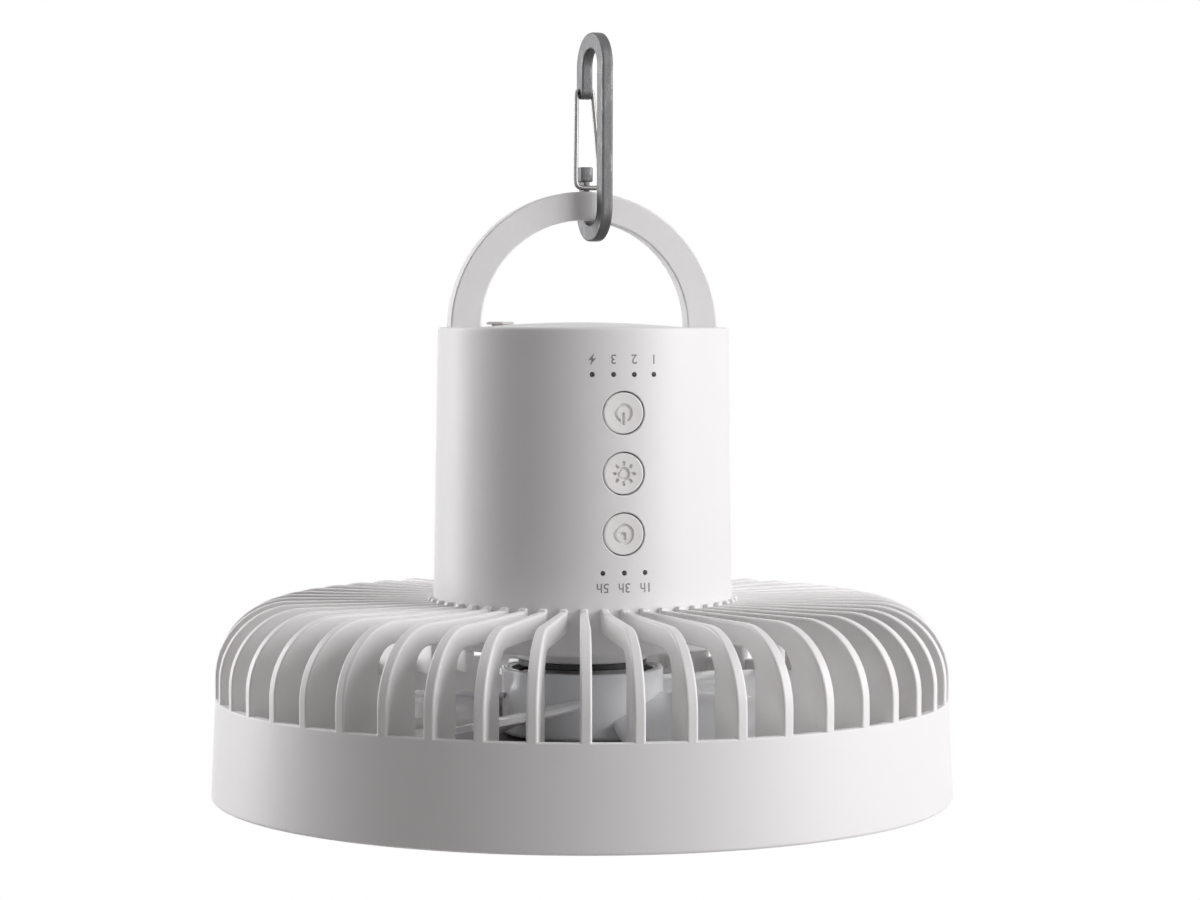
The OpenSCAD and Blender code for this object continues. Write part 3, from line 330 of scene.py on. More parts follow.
class Flow:
    """A socket that takes part in arithmetic. Each operation adds a Math node."""

    def __init__(self, recipe: "Recipe", socket: bpy.types.NodeSocket) -> None:
        """Wraps one output socket of the recipe's tree."""
        self.recipe = recipe
        self.socket = socket

    def _with(self, kind: str, first: "Flow | float", second: "Flow | float") -> "Flow":
        """Adds a Math node of that kind on two values."""
        return self.recipe.flow("ShaderNodeMath", {"operation": kind}, {0: first, 1: second})

    def __add__(self, other: "Flow | float") -> "Flow":
        """The sum."""
        return self._with("ADD", self, other)

    __radd__ = __add__

    def __sub__(self, other: "Flow | float") -> "Flow":
        """The difference."""
        return self._with("SUBTRACT", self, other)

    def __rsub__(self, other: float) -> "Flow":
        """A number less this value."""
        return self._with("SUBTRACT", other, self)

    def __mul__(self, other: "Flow | float") -> "Flow":
        """The product."""
        return self._with("MULTIPLY", self, other)

    __rmul__ = __mul__

    def __pow__(self, other: float) -> "Flow":
        """The power."""
        return self._with("POWER", self, other)


class Recipe:
    """The node tree of one material or world."""

    def __init__(self, tree: bpy.types.NodeTree) -> None:
        """Empties the tree."""
        self.tree = tree
        tree.nodes.clear()

    def node(self, kind: str, settings: dict | None = None, inputs: dict | None = None) -> bpy.types.Node:
        """Adds a node.

        Args:
            kind: The node's type name.
            settings: Attributes, set first. stops is a list of position and colour for a ramp.
            inputs: Socket name or number to a value or a Flow.

        Returns:
            The node.
        """
        made = self.tree.nodes.new(kind)
        for key, value in (settings or {}).items():
            if key == "stops":
                ramp = made.color_ramp.elements
                while len(ramp) < len(value):
                    ramp.new(1.0)
                for element, (place, colour) in zip(ramp, value):
                    element.position, element.color = place, (*colour, 1.0)
            else:
                setattr(made, key, value)
        for key, value in (inputs or {}).items():
            if isinstance(value, Flow):
                self.tree.links.new(value.socket, made.inputs[key])
            else:
                made.inputs[key].default_value = value
        return made

    def flow(self, kind: str, settings: dict | None = None, inputs: dict | None = None, out: int | str = 0) -> Flow:
        """Adds a node and wraps one of its outputs.

        Args:
            kind: The node's type name.
            settings: Attributes, as in node.
            inputs: Sockets, as in node.
            out: The output's name or number.

        Returns:
            The wrapped output.
        """
        return Flow(self, self.node(kind, settings, inputs).outputs[out])

    def place(self) -> Flow:
        """The point on the piece, in metres."""
        return self.flow("ShaderNodeTexCoord", out="Object")

    def noise(self, cell: float, detail: float = 2.0, stretch: tuple[float, float, float] = (1, 1, 1)) -> Flow:
        """Noise between 0 and 1.

        Args:
            cell: Size of a cell in millimetres.
            detail: Octaves.
            stretch: Factors on the coordinates, above 1 where the noise is finer.

        Returns:
            The noise value.
        """
        at = self.flow("ShaderNodeMapping", {"vector_type": "POINT"}, {"Vector": self.place(), "Scale": stretch})
        return self.flow("ShaderNodeTexNoise", None, {"Vector": at, "Scale": 1 / (cell * MM), "Detail": detail})

    def axis(self, which: int) -> Flow:
        """One coordinate of the point, in millimetres."""
        return self.flow("ShaderNodeSeparateXYZ", None, {0: self.place()}, which) * 1000.0

    def radius(self, first: int = 0, second: int = 1) -> Flow:
        """Distance from an axis, in millimetres, from two coordinates."""
        return (self.axis(first) ** 2.0 + self.axis(second) ** 2.0) ** 0.5

    def waves(self, value: Flow, half: float) -> Flow:
        """A zigzag that climbs from 0 to half and falls back."""
        return self.flow("ShaderNodeMath", {"operation": "PINGPONG"}, {0: value, 1: half})

    def smooth(self, value: Flow, low: float, high: float) -> Flow:
        """0 below low, 1 above high, and smooth between."""
        return self.flow("ShaderNodeMapRange", {"interpolation_type": "SMOOTHSTEP"},
                         {0: value, 1: low, 2: high, 3: 0.0, 4: 1.0})

    def blend(self, share: Flow, low: "tuple | Flow", high: "tuple | Flow") -> Flow:
        """A colour between two.

        Args:
            share: 0 for low, 1 for high.
            low: A colour of three numbers, or a Flow.
            high: The other colour.

        Returns:
            The mixed colour.
        """
        ends = [c if isinstance(c, Flow) else (*c, 1.0) for c in (low, high)]
        return self.flow("ShaderNodeMix", {"data_type": "RGBA", "clamp_factor": True},
                         {0: share, 6: ends[0], 7: ends[1]}, 2)

    def relief(self, height: Flow, depth: float) -> Flow:
        """A bumped normal.

        Args:
            height: Height between 0 and 1.
            depth: The height's size in millimetres.

        Returns:
            The normal.
        """
        return self.flow("ShaderNodeBump", None, {"Height": height, "Distance": depth * MM, "Strength": 1.0})


def shade(share: float, colour: tuple[float, float, float]) -> tuple[float, float, float]:
    """A colour scaled by share."""
    return tuple(c * share for c in colour)


@dataclass(frozen=True)
class Finish:
    """A finish: a colour that drifts a little, a roughness that varies, and a fine relief."""

    name: str
    colour: tuple[float, float, float]
    rough: float = 0.5
    spread: float = 0.08
    drift: float = 0.04
    grain: float = 0.3
    depth: float = 0.004
    metal: float = 0.0
    coat: float = 0.0
    stretch: tuple[float, float, float] = (1, 1, 1)
    coat_rough: float = 0.05

    def colour_flow(self, recipe: Recipe) -> Flow:
        """The colour over the surface: a slightly darker and a slightly lighter one, mixed by noise.

        Args:
            recipe: The material's tree.

        Returns:
            The colour.
        """
        broad = recipe.noise(18.0, 3.0)
        fine = recipe.noise(self.grain * 2.0, 2.0, self.stretch)
        both = broad * 0.6 + fine * 0.4
        return recipe.blend(both, shade(1 - self.drift, self.colour), shade(1 + self.drift, self.colour))

    def rough_flow(self, recipe: Recipe) -> Flow:
        """The roughness over the surface."""
        return (recipe.noise(6.0, 4.0) - 0.5) * (2 * self.spread) + self.rough

    def height_flow(self, recipe: Recipe) -> Flow:
        """The height of the fine relief."""
        return recipe.noise(self.grain, 2.0, self.stretch)

    def material(self) -> bpy.types.Material:
        """The finish as a material, made once."""
        if self.name in bpy.data.materials:
            return bpy.data.materials[self.name]
        made = bpy.data.materials.new(self.name)
        made.use_nodes = True
        recipe = Recipe(made.node_tree)
        inputs = {
            "Base Color": self.colour_flow(recipe),
            "Roughness": self.rough_flow(recipe),
            "Normal": recipe.relief(self.height_flow(recipe), self.depth),
            "Metallic": self.metal,
            "Coat Weight": self.coat,
            "Coat Roughness": self.coat_rough,
        }
        shader = recipe.flow("ShaderNodeBsdfPrincipled", None, inputs)
        recipe.node("ShaderNodeOutputMaterial", None, {"Surface": shader})
        return made

    def dress(self, *pieces: bpy.types.Object) -> None:
        """Gives the pieces this finish alone."""
        for piece in pieces:
            piece.data.materials.clear()
            piece.data.materials.append(self.material())


@dataclass(frozen=True)
class RingedFinish(Finish):
    """Metal turned or drawn round the Z axis, with rings of its own radius."""

    pitch: float = 0.12

    def height_flow(self, recipe: Recipe) -> Flow:
        """Noise that depends on the radius and the height alone, so its marks run round the axis."""
        at = recipe.flow("ShaderNodeCombineXYZ", None, {0: recipe.radius(), 1: recipe.axis(2)})
        return recipe.flow("ShaderNodeTexNoise", None, {"Vector": at, "Scale": 1 / self.pitch, "Detail": 2.0})


@dataclass(frozen=True)
class LayeredFinish(Finish):
    """Thin layers stacked along Z, as in a stator's sheets."""

    sheet: float = 0.5

    def height_flow(self, recipe: Recipe) -> Flow:
        """A rounded ridge for each sheet."""
        return recipe.waves(recipe.axis(2), self.sheet / 2) * (2 / self.sheet)


@dataclass(frozen=True)
class WoundFinish(Finish):
    """Enamelled wire, wound in turns that lie level round each tooth, with painted shade between the turns."""

    wire: float = 0.45

    def height_flow(self, recipe: Recipe) -> Flow:
        """A half-round ridge for each turn of wire."""
        return (recipe.waves(recipe.axis(2), self.wire / 2) * (2 / self.wire)) ** 0.5

    def colour_flow(self, recipe: Recipe) -> Flow:
        """Painted shade: darker in the valleys between turns."""
        # painted shade: the valleys between turns take 45 percent of the wire's colour
        return recipe.blend(self.height_flow(recipe), shade(0.45, self.colour), self.colour)


@dataclass(frozen=True)
class BoardFinish(Finish):
    """A circuit board with tracks under its mask."""

    def tracks(self, recipe: Recipe) -> Flow:
        """1 on a track: the borders between cells of a blocky cell pattern."""
        cells = recipe.flow("ShaderNodeTexVoronoi", {"feature": "DISTANCE_TO_EDGE"},
                            {"Vector": recipe.place(), "Scale": 1 / (3.2 * MM), "Randomness": 0.55})
        return 1.0 - recipe.smooth(cells, 0.05, 0.09)

    def colour_flow(self, recipe: Recipe) -> Flow:
        """Lighter over the tracks."""
        return recipe.blend(self.tracks(recipe), self.colour, shade(1.9, self.colour))

    def height_flow(self, recipe: Recipe) -> Flow:
        """Raised over the tracks."""
        return self.tracks(recipe)


@dataclass(frozen=True)
class LensFinish(Finish):
    """The lamp's frosted cover, with the chips' yellow showing faintly through it and fine rings."""

    chips: int = 18
    ring: float = 21.0

    def colour_flow(self, recipe: Recipe) -> Flow:
        """The frosted white, warmed where a chip lies behind: near the ring's radius and each chip's angle.

        Args:
            recipe: The material's tree.

        Returns:
            The colour.
        """
        turn = recipe.flow("ShaderNodeMath", {"operation": "ARCTAN2"}, {0: recipe.axis(1), 1: recipe.axis(0)})
        step = TURN / self.chips
        off = recipe.waves(turn, step / 2) * self.ring
        away = ((recipe.radius() - self.ring) ** 2.0 + off ** 2.0) ** 0.5
        spot = 1.0 - recipe.smooth(away, 0.8, 4.0)
        return recipe.blend(spot * 0.55, self.colour, (0.92, 0.80, 0.42))

    def height_flow(self, recipe: Recipe) -> Flow:
        """Rings one millimetre apart."""
        return recipe.waves(recipe.radius(), 0.5) * 2.0


@dataclass(frozen=True)
class WornMetal(Finish):
    """Tumbled metal: pits, and short rubbed streaks that are brighter and smoother."""

    def rubbed(self, recipe: Recipe) -> Flow:
        """1 where the metal is rubbed bright."""
        return recipe.smooth(recipe.noise(1.6, 4.0, (1, 1, 0.35)), 0.52, 0.68)

    def colour_flow(self, recipe: Recipe) -> Flow:
        """Speckled, and lighter where it is rubbed."""
        speck = recipe.blend(recipe.noise(self.grain, 1.0), shade(0.72, self.colour), shade(1.2, self.colour))
        return recipe.blend(self.rubbed(recipe) * 0.35, speck, shade(1.5, self.colour))

    def rough_flow(self, recipe: Recipe) -> Flow:
        """Smoother where it is rubbed."""
        return self.rough - self.rubbed(recipe) * self.spread + recipe.noise(self.grain, 1.0) * 0.08


WHITE = (0.83, 0.825, 0.822)
SHELL = Finish("moulded_white", WHITE, 0.47, 0.05, 0.012, 0.22, 0.0035)
BARS = Finish("ribbed_white", (0.84, 0.832, 0.826), 0.42, 0.05, 0.014, 0.3, 0.003)
GLOSS = Finish("polished_white", (0.84, 0.845, 0.86), 0.2, 0.04, 0.01, 1.6, 0.004, coat=0.3)
SATIN = Finish("button_white", (0.80, 0.793, 0.785), 0.4, 0.05, 0.012, 0.25, 0.002)
SOFT = Finish("soft_flap", (0.66, 0.65, 0.63), 0.68, 0.06, 0.03, 0.35, 0.006)
BLACK = Finish("lamp_black", (0.018, 0.018, 0.019), 0.38, 0.08, 0.2, 0.25, 0.005)
LENS = LensFinish("frosted_lens", (0.86, 0.86, 0.84), 0.3, 0.06, 0.01, 1.0, 0.03, coat=0.3)
BOARD_WHITE = BoardFinish("lamp_board_white", (0.42, 0.42, 0.41), 0.35, 0.05, 0.02, 1.0, 0.03)
BOARD_GREEN = BoardFinish("board_green", (0.012, 0.085, 0.035), 0.3, 0.06, 0.05, 1.0, 0.035, coat=0.4)
BOARD_BLACK = BoardFinish("board_black", (0.005, 0.005, 0.006), 0.42, 0.05, 0.1, 1.0, 0.03, coat=0.05)
CHIP = Finish("chip_yellow", (0.78, 0.58, 0.12), 0.3, 0.06, 0.06, 0.3, 0.01, coat=0.3)
TURNED = RingedFinish("turned_steel", (0.52, 0.52, 0.53), 0.28, 0.08, 0.06, 0.3, 0.004, metal=1.0)
DARK_TURNED = RingedFinish("plated_ring", (0.34, 0.34, 0.35), 0.24, 0.08, 0.08, 0.3, 0.006, metal=1.0)
SCREW = Finish("screw_steel", (0.42, 0.42, 0.43), 0.3, 0.1, 0.1, 0.25, 0.006, metal=1.0)
SHEETS = LayeredFinish("stator_sheets", (0.35, 0.35, 0.37), 0.42, 0.08, 0.08, 0.5, 0.05, metal=1.0)
MAGNET = Finish("magnet_grey", (0.06, 0.06, 0.065), 0.4, 0.08, 0.15, 0.2, 0.008, metal=0.6)
WINDING = WoundFinish("enamelled_wire", (0.62, 0.22, 0.07), 0.25, 0.06, 0.1, 0.45, 0.12, metal=0.9)
HOOK = WornMetal("tumbled_hook", (0.125, 0.125, 0.127), 0.48, 0.2, 0.1, 0.4, 0.045, metal=1.0)
WIRE = WornMetal("drawn_wire", (0.24, 0.235, 0.23), 0.22, 0.1, 0.1, 0.3, 0.006, metal=1.0)
SMOKED = Finish("smoked_lens", (0.02, 0.02, 0.022), 0.12, 0.03, 0.2, 0.5, 0.002, coat=0.6)
INK = Finish("label_grey", (0.24, 0.235, 0.235), 0.55, 0.06, 0.1, 0.1, 0.001)
WRAP = Finish("cell_wrap", (0.03, 0.14, 0.45), 0.26, 0.06, 0.05, 6.0, 0.04, coat=0.5)
NICKEL = Finish("nickel_strip", (0.60, 0.58, 0.53), 0.22, 0.1, 0.08, 0.4, 0.008, metal=1.0, stretch=(0.2, 1, 1))
JACKET_BLACK = Finish("lead_black", (0.015, 0.015, 0.016), 0.42, 0.08, 0.15, 0.4, 0.008)
JACKET_RED = Finish("lead_red", (0.42, 0.012, 0.01), 0.4, 0.08, 0.08, 0.4, 0.008)


# ---------------------------------------------------------------- sub-assemblies


class Body(Enum):
    """The moving bodies of the fan."""

    FAN = "fan"
    ROTOR = "rotor"
    FLAP = "port_flap"
    HANDLE = "handle"
    HOOK = "snap_hook"
    GATE = "gate"
    POWER = "power_button"
    LAMP = "lamp_button"
    TIMER = "timer_button"


def fit(piece: bpy.types.Object, body: Body, finish: Finish, slot: str, *nodes: str) -> bpy.types.Object:
    """Dresses a finished piece and puts it on its body.

    Args:
        piece: The piece, in place.
        body: What it moves with.
        finish: Its finish.
        slot: The record's material slot; not used.
        *nodes: The solids that it stands for.

    Returns:
        The piece.
    """
    finish.dress(piece)
    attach(piece, body.value)
    if nodes:
        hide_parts(*nodes)
    LOG.info("%s: %d faces on %s", piece.name, len(piece.data.polygons), body.value)
    return piece


@dataclass
class Guard:
    """The skirt, the ribs that bend over from it to the body, and the collar that they end in."""

    rim_r: float = 95.0
    skirt_h: float = 25.5
    rib_r: float = 93.9
    wall: float = 2.4
    top: float = 50.0
    shoulder: float = 19.0
    leg: float = 12.6
    bar: float = 5.5
    corner: float = 6.2
    foot_z: float = 22.0
    count: int = 48
    w_in: float = 2.0
    w_out: float = 2.75
    body_r: float = 38.33
    bore: float = 36.1
    collar_z: float = 38.9
    floor_z: float = 44.0
    floor_top: float = 46.5
    shaft_hole: float = 4.5
    edge: float = 0.55
    nose: float = 0.7
    nose_from: float = 0.943
    nose_rise: float = 0.014

    def rib_lines(self) -> tuple[np.ndarray, np.ndarray]:
        """The outer and inner edge of a rib in radius and height, station by station.

        Each edge is a straight leg, a quarter circle and a straight bar, and the stations pair them off. The
        outer edge rises in a quarter round to a small nose where the rib meets the body.
        """
        leg = np.linspace(0, 1, 6)[:-1, None]
        turn = np.linspace(0, math.pi / 2, 19)[:, None]
        start_share, rise_share = self.nose_from, self.nose_rise
        bar = np.concatenate([np.linspace(0, start_share, 9)[1:], [0.946, 0.951, 0.957, 0.966, 0.983, 1.0]])[:, None]
        end = self.body_r - 0.6
        lines = []
        edges = ((self.rib_r, self.top, self.shoulder), (self.rib_r - self.leg, self.top - self.bar, self.corner))
        for r, z, radius in edges:
            low, high = np.array([r, self.foot_z]), np.array([r, z - radius])
            centre = np.array([r - radius, z - radius])
            arc = centre + radius * np.hstack([np.cos(turn), np.sin(turn)])
            start, stop = np.array([r - radius, z]), np.array([end, z])
            lines.append(np.vstack([low + (high - low) * leg, arc, start + (stop - start) * bar]))
        climb = np.clip((bar[:, 0] - start_share) / rise_share, 0, 1)
        lines[0][-len(bar):, 1] += self.nose * np.sqrt(1 - (1 - climb) ** 2)
        return lines[0], lines[1]

    def half_width(self, r: np.ndarray) -> np.ndarray:
        """Half of a rib's width at radius r: it grows evenly from the body to the skirt."""
        slope = (self.w_out - self.w_in) / 2 / (self.rib_r - self.body_r)
        return self.w_in / 2 + slope * (r - self.bore)

    def ribs(self) -> bpy.types.Object:
        """All the ribs: a rounded rectangle carried along the paired edge lines, turned about the axis."""
        outer, inner = self.rib_lines()
        depth = np.linalg.norm(inner - outer, axis=1)[:, None]
        way = (inner - outer) / depth
        corner, offset = edge_template(self.edge, 3)
        q = (corner[:, 0] + 1) / 2 * depth + offset[:, 0]
        r = outer[:, :1] + way[:, :1] * q
        z = outer[:, 1:] + way[:, 1:] * q
        s = corner[:, 1] * self.half_width(r) + offset[:, 1]
        one = capped(np.stack([r, s, z], axis=-1))
        skin = Skin("guard_ribs")
        for k in range(self.count):
            skin.placed(one, Matrix.Rotation(-math.pi / 2 + k * TURN / self.count, 4, "Z"), cols=True)
        return skin.make()

    def skirt(self) -> bpy.types.Object:
        """The plain wall below the ribs, turned from a profile with fine rounded edges."""
        outline = [[self.rim_r - self.wall, 0], [self.rim_r, 0], [self.rib_r, self.skirt_h],
                   [self.rib_r - self.wall, self.skirt_h]]
        return Skin("guard_skirt").add(lathe(outline, [0.5, 0.7, 0.42, 0.42], 4.0, 320, 5), True, True).make()

    def collar(self) -> bpy.types.Object:
        """The collar round the body's foot with its floor, and the four bosses behind the grille."""
        out, low = self.body_r + 0.05, self.body_r + 0.1
        outline = [[self.bore, self.collar_z], [low, self.collar_z], [out, self.top], [self.bore, self.top],
                   [self.bore, self.floor_top], [self.shaft_hole, self.floor_top], [self.shaft_hole, self.floor_z],
                   [self.bore, self.floor_z]]
        radii = [0.3, 0.8, 0.1, 0.1, 0.1, 0.3, 0.3, 0.4]
        skin = Skin("guard_collar").add(lathe(outline, radii, 6.0, 192), True, True)
        boss = rounded([[0, 5.6], [3.2, 5.6], [3.2, 13.5], [0, 13.5]], [0, 0.2, 0.4, 0], closed=False)
        for spot in screw_spots():
            skin.placed(turned(boss, 32), None, spot, rows=True)
        return skin.make()

    def build(self) -> None:
        """Makes the guard's pieces."""
        fit(self.ribs(), Body.FAN, BARS, "shell_white")
        fit(self.skirt(), Body.FAN, SHELL, "shell_white", "rear_guard")
        fit(self.collar(), Body.FAN, SHELL, "shell_white")


@dataclass
class Grille:
    """The flat grille in the front rim, its screws, and the lamp in its middle."""

    outer: float = 92.0
    band: float = 6.0
    low: float = 1.5
    thick: float = 4.0
    count: int = 48
    bar_w: float = 1.7
    ring_w: float = 2.0
    seat_in: float = 33.0
    seat_out: float = 35.6
    lamp_back: float = 15.0

    def plate(self) -> bpy.types.Object:
        """The rings, turned from rounded rectangles, and the bars, which are rounded boxes between them."""
        skin = Skin("grille")
        top = self.low + self.thick
        step = (self.outer - self.band - self.seat_out) / 3
        edges = [(self.outer - self.band, self.outer, top, 0.9), (self.seat_in, self.seat_out, self.low + 6, 0.5)]
        half = self.ring_w / 2
        edges += [(self.seat_out + k * step - half, self.seat_out + k * step + half, top, 0.6) for k in (1, 2)]
        for r0, r1, z1, e in edges:
            profile = rounded([[r0, self.low], [r1, self.low], [r1, z1], [r0, z1]], e)
            skin.add(turned(profile, 240), True, True)
        length = self.outer - self.band - self.seat_out + 1.6
        bar = rounded_box((length, self.bar_w, self.thick - 0.2), 0.55, 3)
        middle = (self.outer - self.band + self.seat_out) / 2
        bar = bar + np.array([middle, 0, self.low + self.thick / 2])
        for k in range(self.count):
            skin.placed(bar, Matrix.Rotation(k * TURN / self.count, 4, "Z"), cols=True)
        return skin.make()

    def screw_heads(self) -> bpy.types.Object:
        """Four pan heads with a cross recess: a dome less a cross-shaped pocket with soft sides."""
        skin = Skin("grille_screw_heads")
        radius = np.concatenate([np.linspace(0, 2.3, 26), 2.3 + 0.25 * np.sin(np.linspace(0.3, math.pi / 2, 5))])
        a = np.linspace(0, TURN, 96, endpoint=False)[:, None]
        x, y = np.cos(a) * radius, np.sin(a) * radius
        thin, long = np.minimum(abs(x), abs(y)), np.maximum(abs(x), abs(y))
        pocket = np.clip((0.36 - thin) / 0.12 + 0.5, 0, 1) * np.clip((1.45 - long) / 0.15 + 0.5, 0, 1)
        edge = np.clip((radius - 2.3) / 0.25, 0, 1)
        z = 1.15 + 0.22 * (radius / 2.55) ** 2 + 0.3 * (1 - np.sqrt(1 - edge ** 2 * 0.98)) + 0.7 * pocket
        head = np.stack([x, y, z], axis=-1)
        back = np.stack([x[:, -1:], y[:, -1:], np.full_like(x[:, -1:], 2.6)], axis=-1)
        head = np.concatenate([head, back, back * np.array([0, 0, 1.0])], axis=1)
        for spot in screw_spots():
            skin.placed(head, None, spot, rows=True)
        return skin.make(30)

    def lamp(self) -> None:
        """The lamp's black bucket and its frosted cover."""
        back = self.lamp_back
        out = self.seat_in
        outline = [[1.4, 10.5], [7, 10.5], [7, 13], [31, 13], [31, 2.5], [out, 2.5], [out, back], [4, back],
                   [4, 11.5], [1.4, 11.5]]
        bucket = lathe(outline, [0.1, 0.1, 0.1, 0.4, 0.2, 0.3, 1.4, 0.3, 0.1, 0.1], 4.0, 144)
        piece = Skin("lamp_bucket").add(bucket, True, True).make()
        fit(piece, Body.FAN, BLACK, "lamp_black", "lamp_housing")
        r = np.linspace(0, 31.8, 20)
        crown = np.stack([r, 1.0 - 0.35 * (1 - (r / 32.0) ** 2)], axis=1)
        rest = rounded([[31.9, 1.0], [32.9, 1.0], [32.9, 2.5], [30.9, 2.5], [30.9, 4.0], [0, 4.0]],
                       [0.1, 0.5, 0.1, 0.1, 0.3, 0.1], closed=False)
        piece = Skin("lamp_lens").add(turned(np.vstack([crown, rest]), 144), True).make()
        fit(piece, Body.FAN, LENS, "diffuser", "lamp_diffuser")

    def build(self) -> None:
        """Makes the grille and the lamp."""
        fit(self.plate(), Body.FAN, SHELL, "shell_white", "front_grille")
        fit(self.screw_heads(), Body.FAN, SCREW, "steel", "grille_screws")
        self.lamp()


@dataclass
class Rotor:
    """The turning hub with its blades and plated ring, and the fixed motor parts behind it."""

    hub_r: float = 20.8
    low: float = 16.5
    lip: float = 15.4
    top: float = 32.5
    bell_r: float = 19.4
    plate_top: float = 18.5
    tip_r: float = 75.0
    root_r: float = 18.6
    root_low: float = -12.3
    tip_round: float = 0.9
    edge_round: float = 0.8
    count: int = 5
    phase: float = -62.0
    chord: float = 36.0
    edge_r: float = 62.0
    sweep: float = 4.0
    thick: float = 1.6
    camber_r: float = 60.0
    pitch: float = 20.0
    drop: float = 2.4
    floor: float = 16.4

    def hub(self) -> bpy.types.Object:
        """The hub's bell and bearing tube, turned from one profile."""
        bell, plate = self.bell_r, self.plate_top
        outline = [[6.4, self.low], [18.2, self.low], [18.2, self.lip], [self.hub_r, self.lip], [self.hub_r, self.top],
                   [bell, self.top], [bell, plate], [9.6, plate], [9.6, 30], [8, 30], [8, plate], [6.4, plate]]
        radii = [0.3, 0.4, 0.4, 1.2, 0.5, 0.35, 0.3, 0.3, 0.2, 0.2, 0.1, 0.2]
        return Skin("rotor_hub").add(lathe(outline, radii, 2.0, 160, 6), True, True).make()

    def blade(self) -> np.ndarray:
        """One blade along +X, as a closed sheet.

        Its plan lies between two arcs. Its middle surface is an arc of the camber radius across the chord,
        tilted by the pitch, and the thickness falls to nothing in a half round along every edge.
        """
        wide = (self.hub_r + self.tip_r) / 2 + 1.65
        rim = self.tip_round
        outer = self.tip_r - rim * (1 - np.sin(np.linspace(0.2, math.pi / 2, 6)))
        x = np.concatenate([np.linspace(self.root_r, self.tip_r - rim, 44), outer])[:, None]
        high = self.chord / 2 - self.edge_r + np.sqrt(self.edge_r ** 2 - (x - wide + self.sweep) ** 2)
        low = -(self.chord / 2 - self.edge_r + np.sqrt(self.edge_r ** 2 - (x - wide - self.sweep) ** 2))
        low = np.maximum(low, self.root_low)
        high = np.minimum(high, np.sqrt(np.maximum(self.tip_r ** 2 - x ** 2, 0.01)))
        half = np.linspace(-math.pi / 2, math.pi / 2, 25)
        share = (np.sin(half) + np.linspace(-1, 1, 25)) / 2
        y = (high + low) / 2 + (high - low) / 2 * share
        x = np.sqrt(np.maximum(x ** 2 - y ** 2 * (x / self.tip_r) ** 2, 1.0)) * np.ones_like(y)
        from_edge = np.minimum(np.minimum(y - low, high - y), np.maximum(self.tip_r - np.hypot(x, y), 0) + 1e-9)
        full = np.sqrt(np.clip(1 - (1 - np.clip(from_edge / self.edge_round, 0, 1)) ** 2, 0, 1))
        a = math.radians(self.pitch)
        middle = self.camber_r - self.thick / 2
        sheets = []
        for side in (1, -1):
            lift = side * self.thick / 2 * full
            p = y.copy()
            for _ in range(4):
                q = np.sqrt(middle ** 2 - p ** 2) - middle + self.thick / 2 + lift
                p = (y + q * math.sin(a)) / math.cos(a)
            z = (self.low + self.top) / 2 - self.drop + p * math.sin(a) + q * math.cos(a)
            sheets.append(np.stack([x, y, np.maximum(z, self.floor)], axis=-1))
        return np.concatenate([sheets[0], sheets[1][:, ::-1]], axis=1)

    def blades(self) -> bpy.types.Object:
        """All the blades."""
        skin = Skin("rotor_blades")
        one = capped(self.blade())
        for k in range(self.count):
            skin.placed(one, Matrix.Rotation(math.radians(self.phase) + k * TURN / self.count, 4, "Z"), cols=True)
        return skin.make(50)

    def build(self) -> None:
        """Makes the rotor and what shows of the motor."""
        fit(self.hub(), Body.ROTOR, GLOSS, "gloss_white", "fan_rotor")
        fit(self.blades(), Body.ROTOR, GLOSS, "gloss_white")
        turned_parts = (
            ("rotor_rim_ring", [[18.2, 18.5], [19.4, 18.5], [19.4, 32.3], [18.2, 32.3]], [0.1, 0.1, 0.15, 0.3],
             Body.ROTOR, DARK_TURNED, "dark_steel", "rotor_ring"),
            ("motor_disc", [[12, 33], [16.5, 33], [16.5, 34.6], [12, 34.6]], 0.25,
             Body.FAN, BOARD_BLACK, "lamp_black", "motor_board"),
            ("motor_seat", [[10.4, 19.5], [12, 19.5], [12, 34.6], [16.8, 34.6], [16.8, 44], [4, 44], [4, 36],
                            [10.4, 36]],
             [0.1, 0.2, 0.3, 0.5, 0.3, 0.1, 0.1, 0.3], Body.FAN, SHELL, "shell_white", "motor_mount"),
        )
        for name, points, radii, body, finish, slot, node in turned_parts:
            fit(Skin(name).add(lathe(points, radii, 3.0, 128), True, True).make(), body, finish, slot, node)


